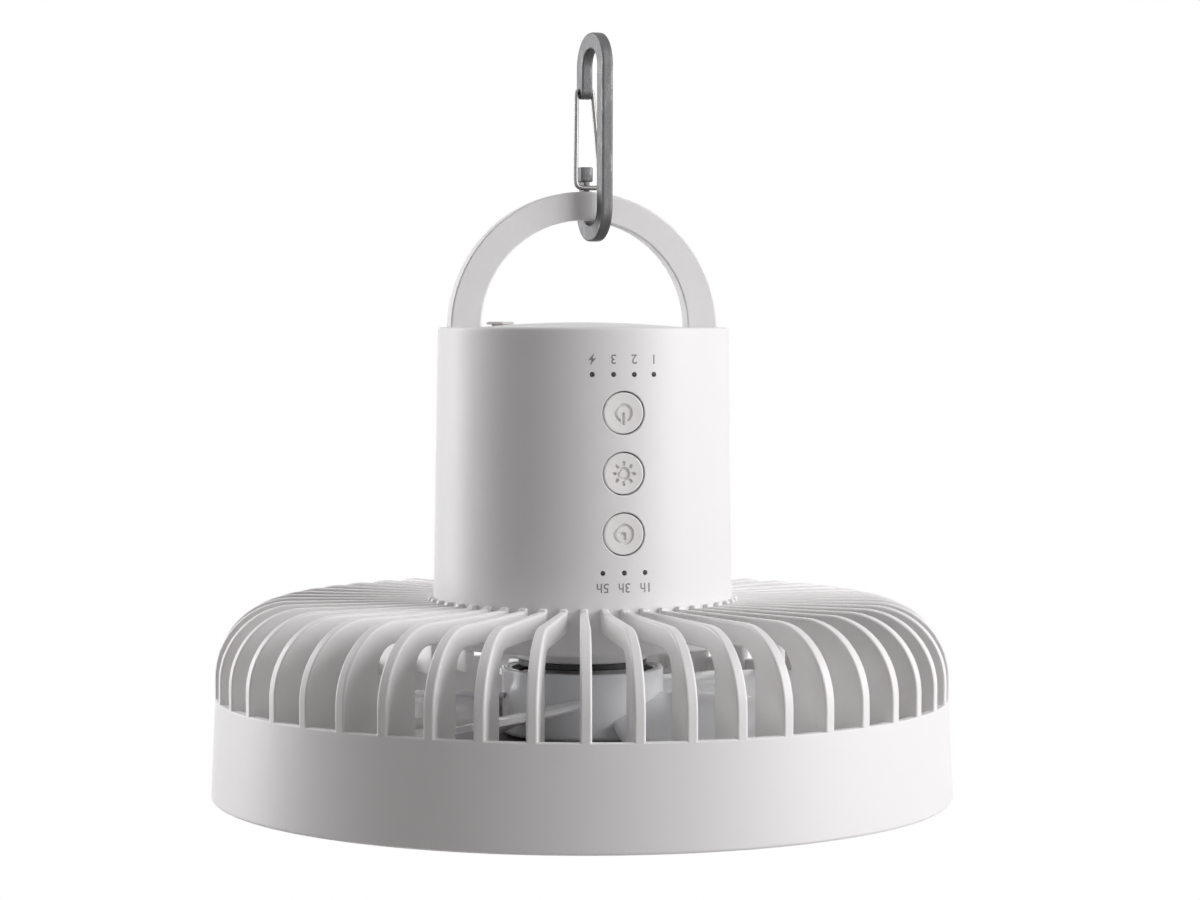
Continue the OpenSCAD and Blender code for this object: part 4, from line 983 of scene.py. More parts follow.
@dataclass
class Shell:
    """The body's wall with its button and lamp holes, the end cap with the charging port, and the flap."""

    foot_r: float = 38.33
    draft: float = 1.06
    foot_z: float = 50.0
    height: float = 69.6
    bore: float = 36.1
    rim: float = 0.9
    cell: float = 0.66
    hole_r: float = 5.38
    light_r: float = 0.62
    buttons: tuple[float, float, float] = (98.6, 83.75, 68.9)
    pitch: float = 14.85
    step: float = 8.1
    upper_z: float = 108.0
    lower_z: float = 59.4
    cap_r: float = 26.6
    crown: float = 1.3
    channel: float = 115.3
    cap_out: float = 35.95
    cap_in: float = 24.6
    cap_low: float = 113.3
    port_low: float = 118.9
    port_r: float = 22.2
    port_turn: float = 150.0
    upper_steps: tuple[float, ...] = (-1.5, -0.5, 0.5, 1.5)
    lower_steps: tuple[float, ...] = (-1, 0, 1)

    @property
    def top(self) -> float:
        """Height of the end rim."""
        return self.foot_z + self.height

    @property
    def port_ways(self) -> tuple[np.ndarray, np.ndarray]:
        """The way from the axis out to the port, and the way across it."""
        a = math.radians(self.port_turn)
        return np.array([math.cos(a), math.sin(a)]), np.array([-math.sin(a), math.cos(a)])

    def radius_at(self, z: np.ndarray | float) -> np.ndarray | float:
        """The wall's outer radius, which falls evenly with height."""
        return self.foot_r - self.draft * (z - self.foot_z) / self.height

    def light_x(self, k: float, z: float) -> float:
        """Where an indicator lies, k steps to the right of the middle."""
        return self.radius_at(z) * math.sin(math.radians(k * self.step))

    def on_wall(self, x: np.ndarray, z: np.ndarray, inner: bool = False) -> np.ndarray:
        """The point of the wall in front of x and z: y is minus the root of radius squared less x squared."""
        r = self.bore if inner else self.radius_at(z)
        return np.stack(np.broadcast_arrays(x, -np.sqrt(r ** 2 - x ** 2), z), axis=-1)

    def hole_patch(self, box: tuple[float, float, float, float], counts: tuple[int, int], at: tuple[float, float],
                   radius: float, lip: float, inner: bool) -> np.ndarray:
        """A piece of wall round a hole: rings run from the hole's circle out to the box that bounds the patch.

        Every point of the box has its partner on the circle at the same angle. The first ring lies on the
        bore, the next ones round the hole's lip, and the rest share out the way to the box.

        Args:
            box: Lowest and highest x, lowest and highest z.
            counts: Divisions along x and along z.
            at: The hole's middle.
            radius: The hole's radius.
            lip: Radius of the hole's rounded lip.
            inner: Whether the patch lies on the bore.

        Returns:
            Points, rings by boundary points by 3.
        """
        x0, x1, z0, z1 = box
        nx, nz = counts
        sx, sz = np.linspace(x0, x1, nx + 1)[:-1], np.linspace(z0, z1, nz + 1)[:-1]
        edge = np.concatenate([
            np.stack([sx, np.full(nx, z0)], 1), np.stack([np.full(nz, x1), sz], 1),
            np.stack([(x0 + x1) - sx, np.full(nx, z1)], 1), np.stack([np.full(nz, x0), (z0 + z1) - sz], 1)])
        middle = np.array(at)
        way = unit(edge - middle)
        bend = np.linspace(0, math.pi / 2, 4)
        rings = [self.on_wall(*(middle + way * radius).T, inner=True)]
        start = radius
        if not inner:
            for grow, sink in zip(lip * (1 - np.cos(bend)), lip * (1 - np.sin(bend))):
                ring = self.on_wall(*(middle + way * (radius + grow)).T)
                ring[:, 1] += sink
                rings.append(ring)
            start = radius + lip + 0.04
            rings.append(self.on_wall(*(middle + way * start).T))
        first = middle + way * start
        for share in (0.12, 0.3, 0.55, 0.78, 1.0):
            rings.append(self.on_wall(*(first + (edge - first) * share).T, inner=inner))
        return np.stack(rings)

    def rows(self) -> list[tuple[float, float, int, list[tuple[int, int, float, float]]]]:
        """The bands of the wall: lowest and highest z, divisions, and the holes as cells from, to, x and radius."""
        b = self.buttons
        half = self.pitch / 2
        low, high = self.lower_z - 2.075, self.upper_z + 1.975
        lower = [(8 * i - 12, 8 * i - 4, self.light_x(k, self.lower_z), self.light_r)
                 for i, k in enumerate(self.lower_steps)]
        upper = [(8 * i - 16, 8 * i - 8, self.light_x(k, self.upper_z), self.light_r)
                 for i, k in enumerate(self.upper_steps)]
        press = [(-11, 11, 0.0, self.hole_r)]
        return [
            (low, b[2] - half, 6, lower), (b[2] - half, b[2] + half, 22, press), (b[1] - half, b[1] + half, 22, press),
            (b[0] - half, b[0] + half, 22, press), (b[0] + half, high, 6, upper)]

    def angles(self, z: np.ndarray, inner: bool, panel: bool) -> np.ndarray:
        """Stations round the wall at each z, so that the panel's edges are at the same x at every height.

        Args:
            z: Heights, n.
            inner: Whether for the bore.
            panel: Whether the panel's own stations are included.

        Returns:
            Angles from -Y, n by stations.
        """
        r = np.full_like(z, self.bore) if inner else self.radius_at(z)
        edge = np.arcsin(16 * self.cell / r)[:, None]
        back = edge + (TURN - 2 * edge) * np.linspace(0, 1, 201)
        if not panel:
            return back
        x = np.arange(-16, 16)[1:] * self.cell
        return np.hstack([back, np.arcsin(x / r[:, None])])

    def wall_band(self, z: np.ndarray, inner: bool, panel: bool, radius: np.ndarray | None = None,
                  at_z: np.ndarray | None = None) -> np.ndarray:
        """A grid of the wall over heights z, round the back or all round.

        Args:
            z: Heights that set the stations.
            inner: Whether on the bore.
            panel: Whether it closes all round.
            radius: Radii to use in place of the wall's.
            at_z: Heights to use in place of z.

        Returns:
            Points, heights by stations by 3.
        """
        a = self.angles(z, inner, panel)
        r = (np.full_like(z, self.bore) if inner else self.radius_at(z)) if radius is None else radius
        height = z if at_z is None else at_z
        around = [np.sin(a) * r[:, None], -np.cos(a) * r[:, None], np.broadcast_to(height[:, None], a.shape)]
        return np.stack(around, axis=-1)

    def wall(self) -> bpy.types.Object:
        """The whole wall as one closed shell: bands, patches round each hole, the rounded end rim and the bore."""
        skin = Skin("body_wall")
        rows = self.rows()
        start, end = rows[0][0], rows[-1][1]
        for inner in (False, True):
            foot = np.linspace(self.foot_z, start, 7)
            head = np.linspace(end, self.top - self.rim, 9)
            skin.add(self.wall_band(foot, inner, True), cols=True)
            skin.add(self.wall_band(head, inner, True), cols=True)
            for z0, z1, n, holes in rows:
                z = np.linspace(z0, z1, n + 1)
                skin.add(self.wall_band(z, inner, False))
                middle = (z0 + z1) / 2
                for c0, c1, x, r in holes:
                    mid = self.lower_z if z1 < 62 else self.upper_z if z0 > 106 else middle
                    box = (c0 * self.cell, c1 * self.cell, z0, z1)
                    lip = 0.22 if r > 1 else 0.08
                    skin.add(self.hole_patch(box, (c1 - c0, n), (x, mid), r, lip, inner), cols=True)
                for c0, c1 in ((-16, holes[0][0]), (holes[-1][1], 16)):
                    if c1 > c0:
                        x = np.arange(c0, c1 + 1) * self.cell
                        skin.add(self.on_wall(x[None], z[:, None], inner))
        bend = np.linspace(0, math.pi / 2, 7)
        level = np.full(len(bend) + 4, self.top - self.rim)
        edge_r = self.radius_at(self.top - self.rim)
        radius = np.concatenate([edge_r - self.rim * (1 - np.cos(bend)),
                                 [self.bore + 0.2, self.bore + 0.06, self.bore, self.bore]])
        height = np.concatenate([self.top - self.rim * (1 - np.sin(bend)),
                                 [self.top, self.top - 0.06, self.top - 0.2, level[0]]])
        skin.add(self.wall_band(level, False, True, radius, height), cols=True)
        foot = np.full(2, self.foot_z)
        skin.add(self.wall_band(foot, False, True, np.array([self.foot_r, self.bore]), foot), cols=True)
        return skin.make(32)

    def dome_z(self, r: np.ndarray) -> np.ndarray:
        """Height of the cap's crown: a sphere's cap over the cap's radius."""
        ball = (self.cap_r ** 2 + self.crown ** 2) / (2 * self.crown)
        return self.top + self.crown - ball + np.sqrt(ball ** 2 - r ** 2)

    def cap(self) -> bpy.types.Object:
        """The end cap as one closed shell whose stations spread from the charging port's outline.

        Rings leave the port's rounded rectangle, reach the cap's round edge along straight lines from the
        port's middle, and go on round the axis, down into the channel, out to the wall and back underneath.
        """
        out, side = self.port_ways
        centre = out * self.port_r
        port = resampled(rounded([[-1.75, -4.65], [1.75, -4.65], [1.75, 4.65], [-1.75, 4.65]], 0.8, steps=5), 0.3, True)
        way = unit(port)
        port = centre + port[:, :1] * out + port[:, 1:] * side
        way = way[:, :1] * out + way[:, 1:] * side
        edge = 0.5
        reach = self.cap_r - edge
        along = (way * centre).sum(1)
        far = -along + np.sqrt(along ** 2 - centre @ centre + reach ** 2)
        outer = centre + way * far[:, None]
        rings = []

        def ring(xy: np.ndarray, z: np.ndarray | float) -> None:
            """Adds a ring of points at the heights z."""
            rings.append(np.column_stack([xy, np.broadcast_to(z, len(xy))]))

        ring(port, self.port_low)
        bend = np.linspace(0, math.pi / 2, 4)
        for t in bend:
            xy = port + way * 0.2 * (1 - math.cos(t))
            ring(xy, self.dome_z(np.linalg.norm(xy, axis=1)) - 0.2 * (1 - math.sin(t)))
        inner = port + way * 0.24
        for share in (0, 0.03, 0.08, 0.16, 0.28, 0.42, 0.56, 0.7, 0.82, 0.92, 0.98, 1.0):
            xy = inner + (outer - inner) * share
            ring(xy, self.dome_z(np.linalg.norm(xy, axis=1)))
        turn = unit(outer)
        z0 = float(self.dome_z(np.array(reach)))
        for t in np.linspace(0, math.pi / 2, 6)[1:]:
            ring(turn * (reach + edge * math.sin(t)), z0 - edge * (1 - math.cos(t)))
        outer, inner = self.cap_out, self.cap_in
        profile = rounded([[self.cap_r, z0 - edge - 0.1], [self.cap_r, self.channel], [outer, self.channel],
                           [outer, self.cap_low], [inner, self.cap_low], [inner, self.port_low]],
                          [0.1, 0.35, 0.3, 0.3, 0.3, 0.1], closed=False)
        for r, z in resampled(profile, 3.0):
            ring(turn * r, z)
        skin = Skin("cap").add(np.stack(rings), True, True)
        return skin.make()

    def flap(self) -> bpy.types.Object:
        """The port's soft flap: a rounded bar and the plug beneath it."""
        turn = Matrix.Rotation(math.radians(self.port_turn), 4, "Z")
        out, _ = self.port_ways
        skin = Skin("flap")
        skin.placed(rounded_box((4.5, 10.5, 0.76), 0.36, 4), turn, (*(out * (self.port_r - 0.05)), 120.62), cols=True)
        skin.placed(rounded_box((2.3, 7.6, 1.3), 0.3, 3), turn, (*(out * self.port_r), 119.85), cols=True)
        return skin.make()

    def lenses(self) -> bpy.types.Object:
        """Smoked ends of the light guides, a little inside their holes: short domed pins along Y."""
        skin = Skin("indicator_lenses")
        r = np.array([0.0, 0.2, 0.36, 0.46, 0.5, 0.5, 0.0])
        y = np.array([-0.14, -0.12, -0.07, 0.0, 0.1, 1.4, 1.4])
        a = np.linspace(0, TURN, 20, endpoint=False)[:, None]
        pin = np.stack([np.cos(a) * r, np.broadcast_to(y, (20, 7)), np.sin(a) * r], axis=-1)
        spots = [(k, self.upper_z) for k in self.upper_steps] + [(k, self.lower_z) for k in self.lower_steps]
        for k, z in spots:
            x = self.light_x(k, z)
            skin.placed(pin, None, (x, -math.sqrt(self.radius_at(z) ** 2 - x ** 2) + 0.42, z), rows=True)
        return skin.make()

    def build(self) -> None:
        """Makes the wall, the cap, the flap and the indicators."""
        fit(self.wall(), Body.FAN, SHELL, "shell_white", "body_shell")
        fit(self.cap(), Body.FAN, SHELL, "shell_white", "end_cap")
        fit(self.flap(), Body.FLAP, SOFT, "flap_rubber", "port_flap")
        fit(self.lenses(), Body.FAN, SMOKED, "light_pipe", "indicator_lights")


@dataclass
class Labels:
    """The small grey signs beside the indicator rows, upside down while the fan hangs."""

    shell: Shell
    size: float = 2.5
    proud: float = 0.025
    upper_z: float = 111.75
    lower_z: float = 55.75

    def letters(self, text: str) -> tuple[np.ndarray, list]:
        """A sign's flat outline, in millimetres about its middle.

        Args:
            text: What it says.

        Returns:
            Points, n by 2, and the faces.
        """
        curve = bpy.data.curves.new("sign", "FONT")
        curve.body, curve.size, curve.resolution_u = text, self.size * 1.32, 4
        curve.offset = 0.012
        holder = bpy.data.objects.new("sign", curve)
        bpy.context.scene.collection.objects.link(holder)
        bpy.context.view_layer.update()
        mesh = holder.to_mesh()
        flat = np.array([v.co[:2] for v in mesh.vertices])
        faces = [list(p.vertices) for p in mesh.polygons]
        holder.to_mesh_clear()
        bpy.data.objects.remove(holder)
        bpy.data.curves.remove(curve)
        return flat - (flat.min(0) + flat.max(0)) / 2, faces

    def bolt(self) -> tuple[np.ndarray, list]:
        """The charging sign: a lightning bolt of two slanted halves."""
        flat = 1.3 * np.array([[0.35, 1.15], [-0.72, -0.2], [-0.12, -0.12], [-0.35, -1.15], [0.72, 0.2], [0.12, 0.12]])
        return flat, [[0, 1, 2, 5], [2, 3, 4, 5]]

    def build(self) -> None:
        """Lays each sign on the wall: a flat point turned half round, then moved out to the wall's radius."""
        signs = [(self.bolt(), -1.5, self.upper_z)]
        signs += [(self.letters(t), k, self.upper_z) for t, k in zip("321", self.shell.upper_steps[1:])]
        signs += [(self.letters(t), k, self.lower_z) for t, k in zip(("5h", "3h", "1h"), self.shell.lower_steps)]
        points, faces, count = [], [], 0
        for (flat, polys), k, z in signs:
            x = self.shell.light_x(k, z) - flat[:, 0]
            height = z - flat[:, 1]
            r = self.shell.radius_at(height) + self.proud
            points.append(np.column_stack([x, -np.sqrt(r ** 2 - x ** 2), height]))
            faces += [[i + count for i in poly] for poly in polys]
            count += len(flat)
        mesh = bpy.data.meshes.new("panel_signs")
        mesh.from_pydata((np.vstack(points) * MM).tolist(), [], faces)
        work = bmesh.new()
        work.from_mesh(mesh)
        bmesh.ops.remove_doubles(work, verts=work.verts, dist=1e-6)
        turned_in = [f for f in work.faces if f.normal.y > 0]
        bmesh.ops.reverse_faces(work, faces=turned_in)
        work.to_mesh(mesh)
        work.free()
        fit(linked("panel_signs", mesh), Body.FAN, INK, "lamp_black")


@dataclass
class Buttons:
    """The three push buttons with their sunk marks."""

    shell: Shell
    radius: float = 5.1
    round_edge: float = 0.4
    sink: float = 0.6
    mark_half: float = 0.39
    mark_side: float = 0.17
    dish: float = 0.12
    stem_r: float = 2.0
    back_y: float = 34.25
    stem_y: float = 31.65

    def power_mark(self, x: np.ndarray, z: np.ndarray) -> np.ndarray:
        """Distance to the mark's middle line: a ring open below, with an upright bar in the opening.

        Args:
            x: Places to the right of the button's middle.
            z: Places above it.

        Returns:
            The distance, in millimetres.
        """
        r = np.hypot(x, z)
        ring = np.where((abs(x) < 0.72) & (z < 0), 9.0, abs(r - 1.98))
        bar = np.hypot(x, z - np.clip(z, -2.75, -0.3))
        return np.minimum(ring, bar)

    def lamp_mark(self, x: np.ndarray, z: np.ndarray) -> np.ndarray:
        """Distance to a sun: a small ring and eight short rays.

        Args:
            x: Places to the right of the button's middle.
            z: Places above it.

        Returns:
            The distance, in millimetres.
        """
        r = np.hypot(x, z)
        turn = np.arctan2(z, x)
        off = (turn + math.pi / 8) % (math.pi / 4) - math.pi / 8
        u, v = r * np.cos(off), r * np.sin(off)
        return np.minimum(abs(r - 1.3), np.hypot(u - np.clip(u, 2.2, 2.7), v))

    def timer_mark(self, x: np.ndarray, z: np.ndarray) -> np.ndarray:
        """Distance to a clock: a ring and two hands.

        Args:
            x: Places to the right of the button's middle.
            z: Places above it.

        Returns:
            The distance, in millimetres.
        """
        ring = abs(np.hypot(x, z) - 2.28)
        down = np.hypot(x - 0.25, z - np.clip(z, -1.2, 0.1))
        across = np.hypot(x - np.clip(x, -0.9, 0.25), z - 0.1)
        return np.minimum(ring, np.minimum(down, across))

    def cap(self, name: str, z: float, mark: Callable[[np.ndarray, np.ndarray], np.ndarray]) -> bpy.types.Object:
        """One button: a polar grid over the face, sunk along the mark, then its rounded edge, side and stem.

        Args:
            name: The piece's name.
            z: Height of the button's middle.
            mark: Distance to the mark's middle line.

        Returns:
            The piece.
        """
        face_y = math.sqrt(self.shell.radius_at(z) ** 2 - self.shell.hole_r ** 2)
        a = np.linspace(0, TURN, 168, endpoint=False)[:, None]
        flat = np.concatenate([np.linspace(0, 3.2, 52), np.linspace(3.25, self.radius - self.round_edge, 10)])
        x, h = np.cos(a) * flat, np.sin(a) * flat
        gap = mark(x, h)
        depth = self.sink * np.clip((self.mark_half - gap) / self.mark_side, 0, 1)
        dish = self.dish * (1 - (flat / self.radius) ** 2)
        face = np.stack([x, -face_y + depth + dish * np.ones_like(x), h], axis=-1)
        bend = np.linspace(0, math.pi / 2, 6)[1:]
        r = np.concatenate([self.radius - self.round_edge * (1 - np.sin(bend)),
                            [self.radius, self.radius, self.stem_r, self.stem_r, 0.0]])
        y = np.concatenate([-face_y + self.round_edge * (1 - np.cos(bend)),
                            [-face_y + 0.9, -self.back_y, -self.back_y, -self.stem_y, -self.stem_y]])
        side = np.stack([np.cos(a) * r, np.broadcast_to(y, (168, len(y))), np.sin(a) * r], axis=-1)
        skin = Skin(name).placed(np.concatenate([face, side], axis=1), None, (0, 0, z), rows=True)
        return skin.make(50)

    def build(self) -> None:
        """Makes the three buttons."""
        marks = (self.power_mark, self.lamp_mark, self.timer_mark)
        for body, z, mark in zip((Body.POWER, Body.LAMP, Body.TIMER), self.shell.buttons, marks):
            fit(self.cap(body.value + "_cap", z, mark), body, SATIN, "button_white", body.value)


@dataclass
class Handle:
    """The folding loop handle."""

    hinge_z: float = 118.3
    outer_r: float = 35.4
    outer_rise: float = 0.5
    inner_r: float = 27.3
    inner_rise: float = 1.3
    thick: float = 4.8
    edge: float = 0.5

    def build(self) -> None:
        """Carries a rounded rectangle along the arch between the outer and inner circle.

        At the hinge line the section's thickness follows a half circle, so each leg ends in a rounded barrel.
        """
        share = np.linspace(0, 1, 97)
        lines = []
        for r, rise in ((self.outer_r, self.outer_rise), (self.inner_r, self.inner_rise)):
            start = -math.asin(rise / r)
            t = start + share * (math.pi - 2 * start)
            lines.append(np.stack([r * np.cos(t), rise + r * np.sin(t)], axis=1))
        outer, inner = lines
        beta = np.linspace(0, math.pi / 2, 9)[1:]
        barrel = np.concatenate([beta[::-1], np.zeros(len(share)), beta])
        pick = np.concatenate([np.zeros(len(beta), int), np.arange(len(share)), np.full(len(beta), len(share) - 1)])
        outer, inner = outer[pick], inner[pick]
        depth = np.linalg.norm(inner - outer, axis=1)[:, None]
        way = (inner - outer) / depth
        corner, offset = edge_template(self.edge, 4, 0.08)
        q = (corner[:, 0] + 1) / 2 * depth + offset[:, 0]
        half = self.thick / 2
        y = (corner[:, 1] * half + offset[:, 1]) * np.cos(barrel)[:, None]
        x = outer[:, :1] + way[:, :1] * q
        z = outer[:, 1:] + way[:, 1:] * q + self.hinge_z - half * np.sin(barrel)[:, None]
        piece = Skin("loop_handle").add(np.stack([x, y, z], axis=-1), cols=True).make()
        fit(piece, Body.HANDLE, SHELL, "shell_white", "handle")


@dataclass
class SnapHook:
    """The snap hook with its notched nose, its wire gate and the rivet on which the gate turns."""

    low: float = 141.58
    length: float = 53.3
    width: float = 18.3
    bar: float = 4.2
    thick: float = 3.0
    in_r: float = 4.4
    at_x: float = 2.9
    yaw: float = 6.0
    pivot_z: float = 180.48
    gate_l: float = 25.0
    gate_u: float = 4.30
    gate_near: float = 2.15
    gate_far: float = 3.35
    nose_top: float = 160.88
    nose_l: float = 6.3
    wire: float = 0.6

    def stand(self, flat: np.ndarray) -> np.ndarray:
        """Turns points of the hook's plane by the hook's angle about the vertical, and moves them in place.

        Args:
            flat: Points, with u towards the gate, v up and w across the thickness.

        Returns:
            The same points in X, Y and Z.
        """
        u, v, w = flat[..., 0], flat[..., 1], flat[..., 2]
        a = math.radians(self.yaw)
        x = w * math.cos(a) - u * math.sin(a) + self.at_x
        y = w * math.sin(a) + u * math.cos(a)
        return np.stack([x, y, v], axis=-1)

    def frame(self) -> bpy.types.Object:
        """The bar, a rounded rectangle carried along its middle line from the nose round to the gate's hinge."""
        half, mid = self.bar / 2, self.width / 2 - self.bar / 2
        high = self.low + self.length - half
        line = rounded([[mid, self.nose_top - self.nose_l], [mid, self.low + half], [-mid, self.low + half],
                        [-mid, high], [mid, high], [mid, self.pivot_z + 0.4]],
                       self.in_r + half, closed=False, steps=12, hold=0.2)
        line = resampled(line, 2.0)
        along = unit(np.gradient(line, axis=0))
        across = np.stack([-along[:, 1], along[:, 0]], axis=1)
        corner, offset = edge_template(0.55, 4, 0.08)
        a = (corner[:, 0] * half + offset[:, 0])
        w = (corner[:, 1] * self.thick / 2 + offset[:, 1])
        deep = np.broadcast_to(w[None, :, None], (len(line), len(w), 1))
        grid = np.concatenate([line[:, None] + across[:, None] * a[None, :, None], deep], axis=2)
        skin = Skin("hook_bar").add(self.stand(capped(grid)), cols=True)
        reach, deep = half + 0.05, self.thick / 2 + 0.05
        boss = rounded([[0, -deep], [reach, -deep], [reach, deep], [0, deep]], [0, 0.45, 0.45, 0], closed=False)
        lathe = turned(boss, 40)
        skin.add(self.stand(lathe + np.array([mid, self.pivot_z, 0])), rows=True)
        neck, head = (self.bar - 0.5, 3.4, 1.7), (self.bar - 0.1, 3.8, 3.3)
        for size, v in ((neck, self.nose_top - 5.0), (head, self.nose_top - 1.9)):
            skin.add(self.stand(rounded_box(size, 0.4, 3) + np.array([mid, v, 0])), cols=True)
        return skin.make()

    def gate(self) -> bpy.types.Object:
        """The wire gate: a closed loop, narrow at its hinge and wide at its far end, leaning to the nose."""
        near, far, end = self.gate_near, self.gate_far, -self.gate_l
        loop = rounded([[-near, 0.0], [near, 0.0], [far, end + 3], [far, end], [-far, end], [-far, end + 3]],
                       [0.6, 0.6, 5.0, 1.5, 1.5, 5.0], steps=6, hold=0.1)
        loop = resampled(loop, 1.2, True)
        mid = self.width / 2 - self.bar / 2
        lean = math.atan((mid - self.gate_u) / self.gate_l)
        w, v = loop[:, 0], loop[:, 1] / math.cos(lean)
        path = np.stack([mid + v * math.sin(lean), self.pivot_z + v * math.cos(lean), w], axis=1)
        normal = np.array([math.cos(lean), -math.sin(lean), 0.0])
        return Skin("wire_gate").add(self.stand(pipe(path, normal, self.wire)), True, True).make()

    def build(self) -> None:
        """Makes the hook and its gate."""
        fit(self.frame(), Body.HOOK, HOOK, "hook_steel", "hook_frame")
        fit(self.gate(), Body.GATE, WIRE, "hook_steel", "hook_gate")


@dataclass
class Inside:
    """The solids that stay as they are, each with its finish."""

    finishes: dict[Finish, tuple[str, ...]] = field(default_factory=lambda: {
        BOARD_WHITE: ("lamp_board",),
        CHIP: ("lamp_chips", "indicator_chips"),
        GLOSS: ("lamp_reflector",),
        SCREW: ("lamp_screws", "motor_screws", "body_screws", "end_cap_screws", "charge_board_screws", "board_screws"),
        JACKET_BLACK: ("lamp_lead", "motor_lead"),
        JACKET_RED: ("battery_lead",),
        MAGNET: ("ring_magnet",),
        TURNED: ("bearings", "bearing_spacer", "motor_shaft", "shaft_sleeve", "handle_pins"),
        DARK_TURNED: ("shaft_clip",),
        SHEETS: ("stator_core",),
        WINDING: ("stator_coils",),
        NICKEL: ("charge_socket", "cell_strips"),
        BOARD_GREEN: ("charge_board", "control_board"),
        BLACK: ("power_plunger", "lamp_plunger", "timer_plunger", "battery_cage", "push_switches"),
        WRAP: ("battery_cells",),
    })

    def build(self) -> None:
        """Dresses every solid that isn't replaced."""
        for finish, nodes in self.finishes.items():
            for name in nodes:
                finish.dress(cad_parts[name])


# ---------------------------------------------------------------- studio


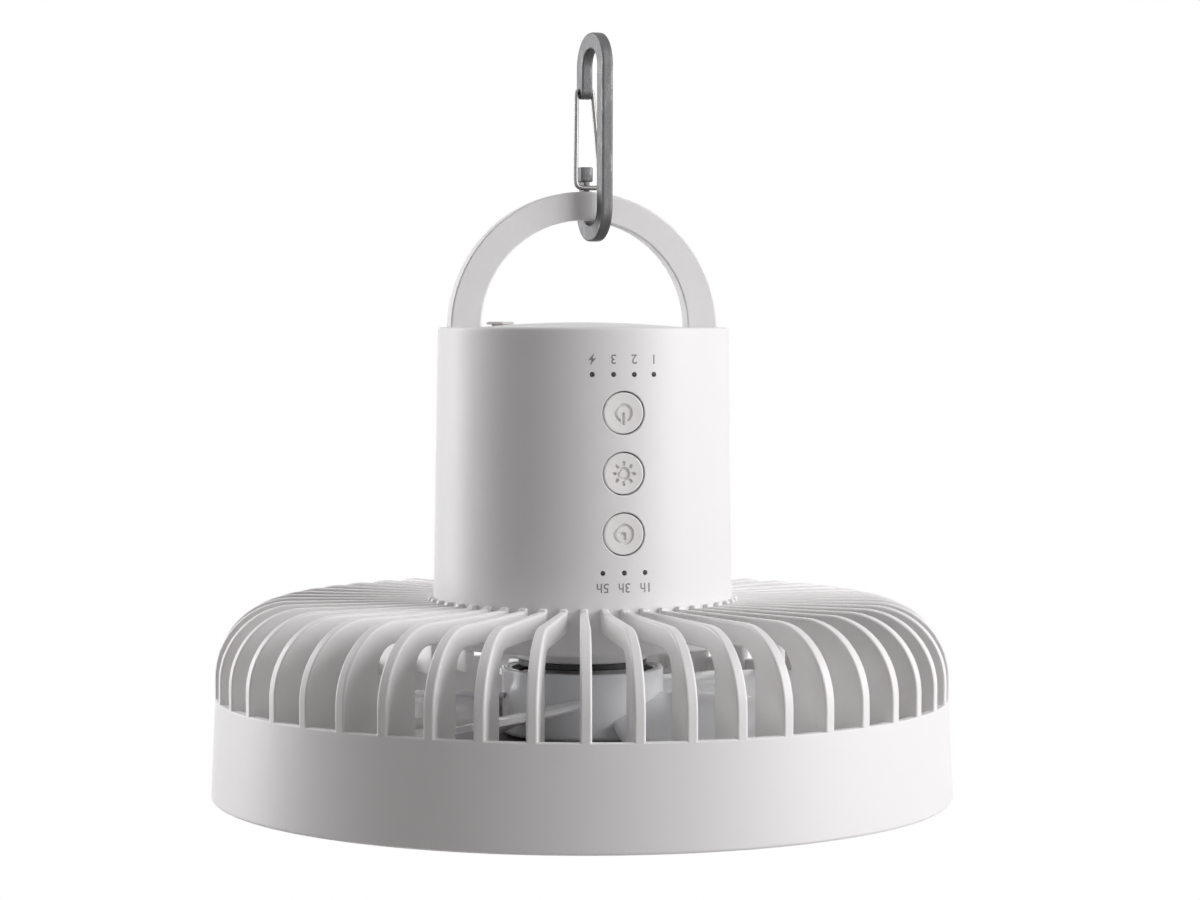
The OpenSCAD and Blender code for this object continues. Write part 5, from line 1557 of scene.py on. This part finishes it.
@dataclass
class Studio:
    """Floor, lights, world and camera."""

    turn: float = -15.5
    distance: float = 754.5
    eye_z: float = 118.0
    pan: float = 0.0058
    pitch: float = 0.0396
    roll: float = 0.0023
    lens: float = 88.155
    floor_z: float = -150.0
    tint: tuple[float, float, float] = (0.99, 0.98, 1.0)

    def camera(self) -> None:
        """The camera at the photograph's place: turned about Z with the object, panned, tipped and rolled."""
        ahead = np.array([math.sin(self.pan), math.cos(self.pan), 0])
        right = np.array([math.cos(self.pan), -math.sin(self.pan), 0])
        sky = np.array([0, 0, 1.0])
        forward = ahead * math.cos(self.pitch) - sky * math.sin(self.pitch)
        up = sky * math.cos(self.pitch) + ahead * math.sin(self.pitch)
        across = right * math.cos(self.roll) + up * math.sin(self.roll)
        up = up * math.cos(self.roll) - right * math.sin(self.roll)
        axes = Matrix([across, up, -forward]).transposed().to_4x4()
        spin = Matrix.Rotation(math.radians(self.turn), 4, "Z")
        data = bpy.data.cameras.new("camera")
        data.lens, data.sensor_width, data.sensor_fit = self.lens, 36.0, "HORIZONTAL"
        data.clip_start, data.clip_end = 0.01, 50.0
        eye = bpy.data.objects.new("camera", data)
        eye.matrix_world = spin @ Matrix.Translation(Vector((0, -self.distance, self.eye_z)) * MM) @ axes
        bpy.context.scene.collection.objects.link(eye)
        bpy.context.scene.camera = eye

    def lamp(self, name: str, side: float, rise: float, away: float, level: float, size: tuple[float, float]) -> None:
        """A soft lamp that looks at the object.

        Args:
            name: The lamp's name.
            side: Degrees to the right of the camera.
            rise: Degrees above the horizon.
            away: Distance in metres.
            level: The light on a surface that faces it, where 1 shows a colour as it is written.
            size: Width and height in metres.
        """
        data = bpy.data.lights.new(name, "AREA")
        data.shape, data.size, data.size_y = "RECTANGLE", *size
        data.energy = math.pi ** 2 * away ** 2 * level
        data.color = self.tint
        a, e = math.radians(side + self.turn), math.radians(rise)
        back = Vector((math.sin(a) * math.cos(e), -math.cos(a) * math.cos(e), math.sin(e)))
        lamp = bpy.data.objects.new(name, data)
        lamp.location = Vector((0, 0, 0.07)) + back * away
        lamp.rotation_mode = "QUATERNION"
        lamp.rotation_quaternion = (-back).to_track_quat("-Z", "Y")
        bpy.context.scene.collection.objects.link(lamp)

    def seen(self, recipe: Recipe) -> Flow:
        """1 where the camera, a reflection or a clear part looks, and 0 where light is gathered.

        Args:
            recipe: The tree that asks.

        Returns:
            The share.
        """
        path = recipe.node("ShaderNodeLightPath")
        rays = [Flow(recipe, path.outputs[n]) for n in ("Is Camera Ray", "Is Glossy Ray", "Is Transmission Ray")]
        return recipe.flow("ShaderNodeMath", {"operation": "MINIMUM"}, {0: rays[0] + rays[1] + rays[2], 1: 1.0})

    def world(self) -> None:
        """White where the camera, a reflection or a clear part sees it, and dimmer as light."""
        world = bpy.data.worlds.new("studio")
        world.use_nodes = True
        bpy.context.scene.world = world
        recipe = Recipe(world.node_tree)
        seen = self.seen(recipe)
        dim = recipe.flow("ShaderNodeBackground", None, {0: (1.0, 0.965, 0.955, 1), 1: 0.125})
        white = recipe.flow("ShaderNodeBackground", None, {0: (1, 1, 1, 1), 1: 1.0})
        both = recipe.flow("ShaderNodeMixShader", None, {0: seen, 1: dim, 2: white})
        recipe.node("ShaderNodeOutputWorld", None, {"Surface": both})

    def floor(self) -> None:
        """A pale round floor below the hanging fan. It keeps the shadow near the fan and is white far off.

        Its underside is clear, so the lamp side can be seen from below.
        """
        made = bpy.data.materials.new("floor_pale")
        made.use_nodes = True
        recipe = Recipe(made.node_tree)
        seen = self.seen(recipe)
        far = recipe.smooth(recipe.radius(), 260.0, 620.0)
        matt = recipe.flow("ShaderNodeBsdfDiffuse", None, {0: (0.6, 0.585, 0.58, 1)})
        lift = recipe.flow("ShaderNodeEmission", None, {0: (1, 1, 1, 1), 1: seen * 0.34})
        near = recipe.flow("ShaderNodeAddShader", None, {0: matt, 1: lift})
        white = recipe.flow("ShaderNodeEmission", None, {0: (1, 1, 1, 1), 1: 1.0})
        lit = recipe.flow("ShaderNodeMixShader", None, {0: far * seen, 1: near, 2: white})
        clear = recipe.flow("ShaderNodeBsdfTransparent")
        under = recipe.flow("ShaderNodeNewGeometry", out="Backfacing")
        both = recipe.flow("ShaderNodeMixShader", None, {0: under, 1: lit, 2: clear})
        recipe.node("ShaderNodeOutputMaterial", None, {"Surface": both})
        profile = np.array([[0, self.floor_z], [300, self.floor_z], [2500, self.floor_z]], float)
        piece = Skin("floor").add(turned(profile, 64), True).make(outward=False)
        if piece.data.polygons[0].normal.z < 0:
            piece.data.flip_normals()
        piece.data.materials.append(made)

    def build(self) -> None:
        """Sets up the whole studio."""
        self.camera()
        self.world()
        self.floor()
        self.lamp("key_right", 71, 19, 0.95, 0.98, (0.6, 0.8))
        self.lamp("edge_left", -114, 15, 0.95, 0.80, (0.35, 0.9))
        self.lamp("top_soft", -60, 78, 0.95, 0.16, (0.8, 0.8))
        bpy.context.scene.view_settings.view_transform = "Standard"


def main() -> None:
    """Builds the studio and every sub-assembly in order, and reports each."""
    logging.basicConfig(level=logging.INFO, format="%(name)s: %(message)s")
    shell = Shell()
    parts = (Studio(), Guard(), Grille(), Rotor(), shell, Labels(shell), Buttons(shell), Handle(), SnapHook(), Inside())
    for part in parts:
        part.build()
        LOG.info("%s is done", type(part).__name__)


if __name__ == "__main__":
    main()
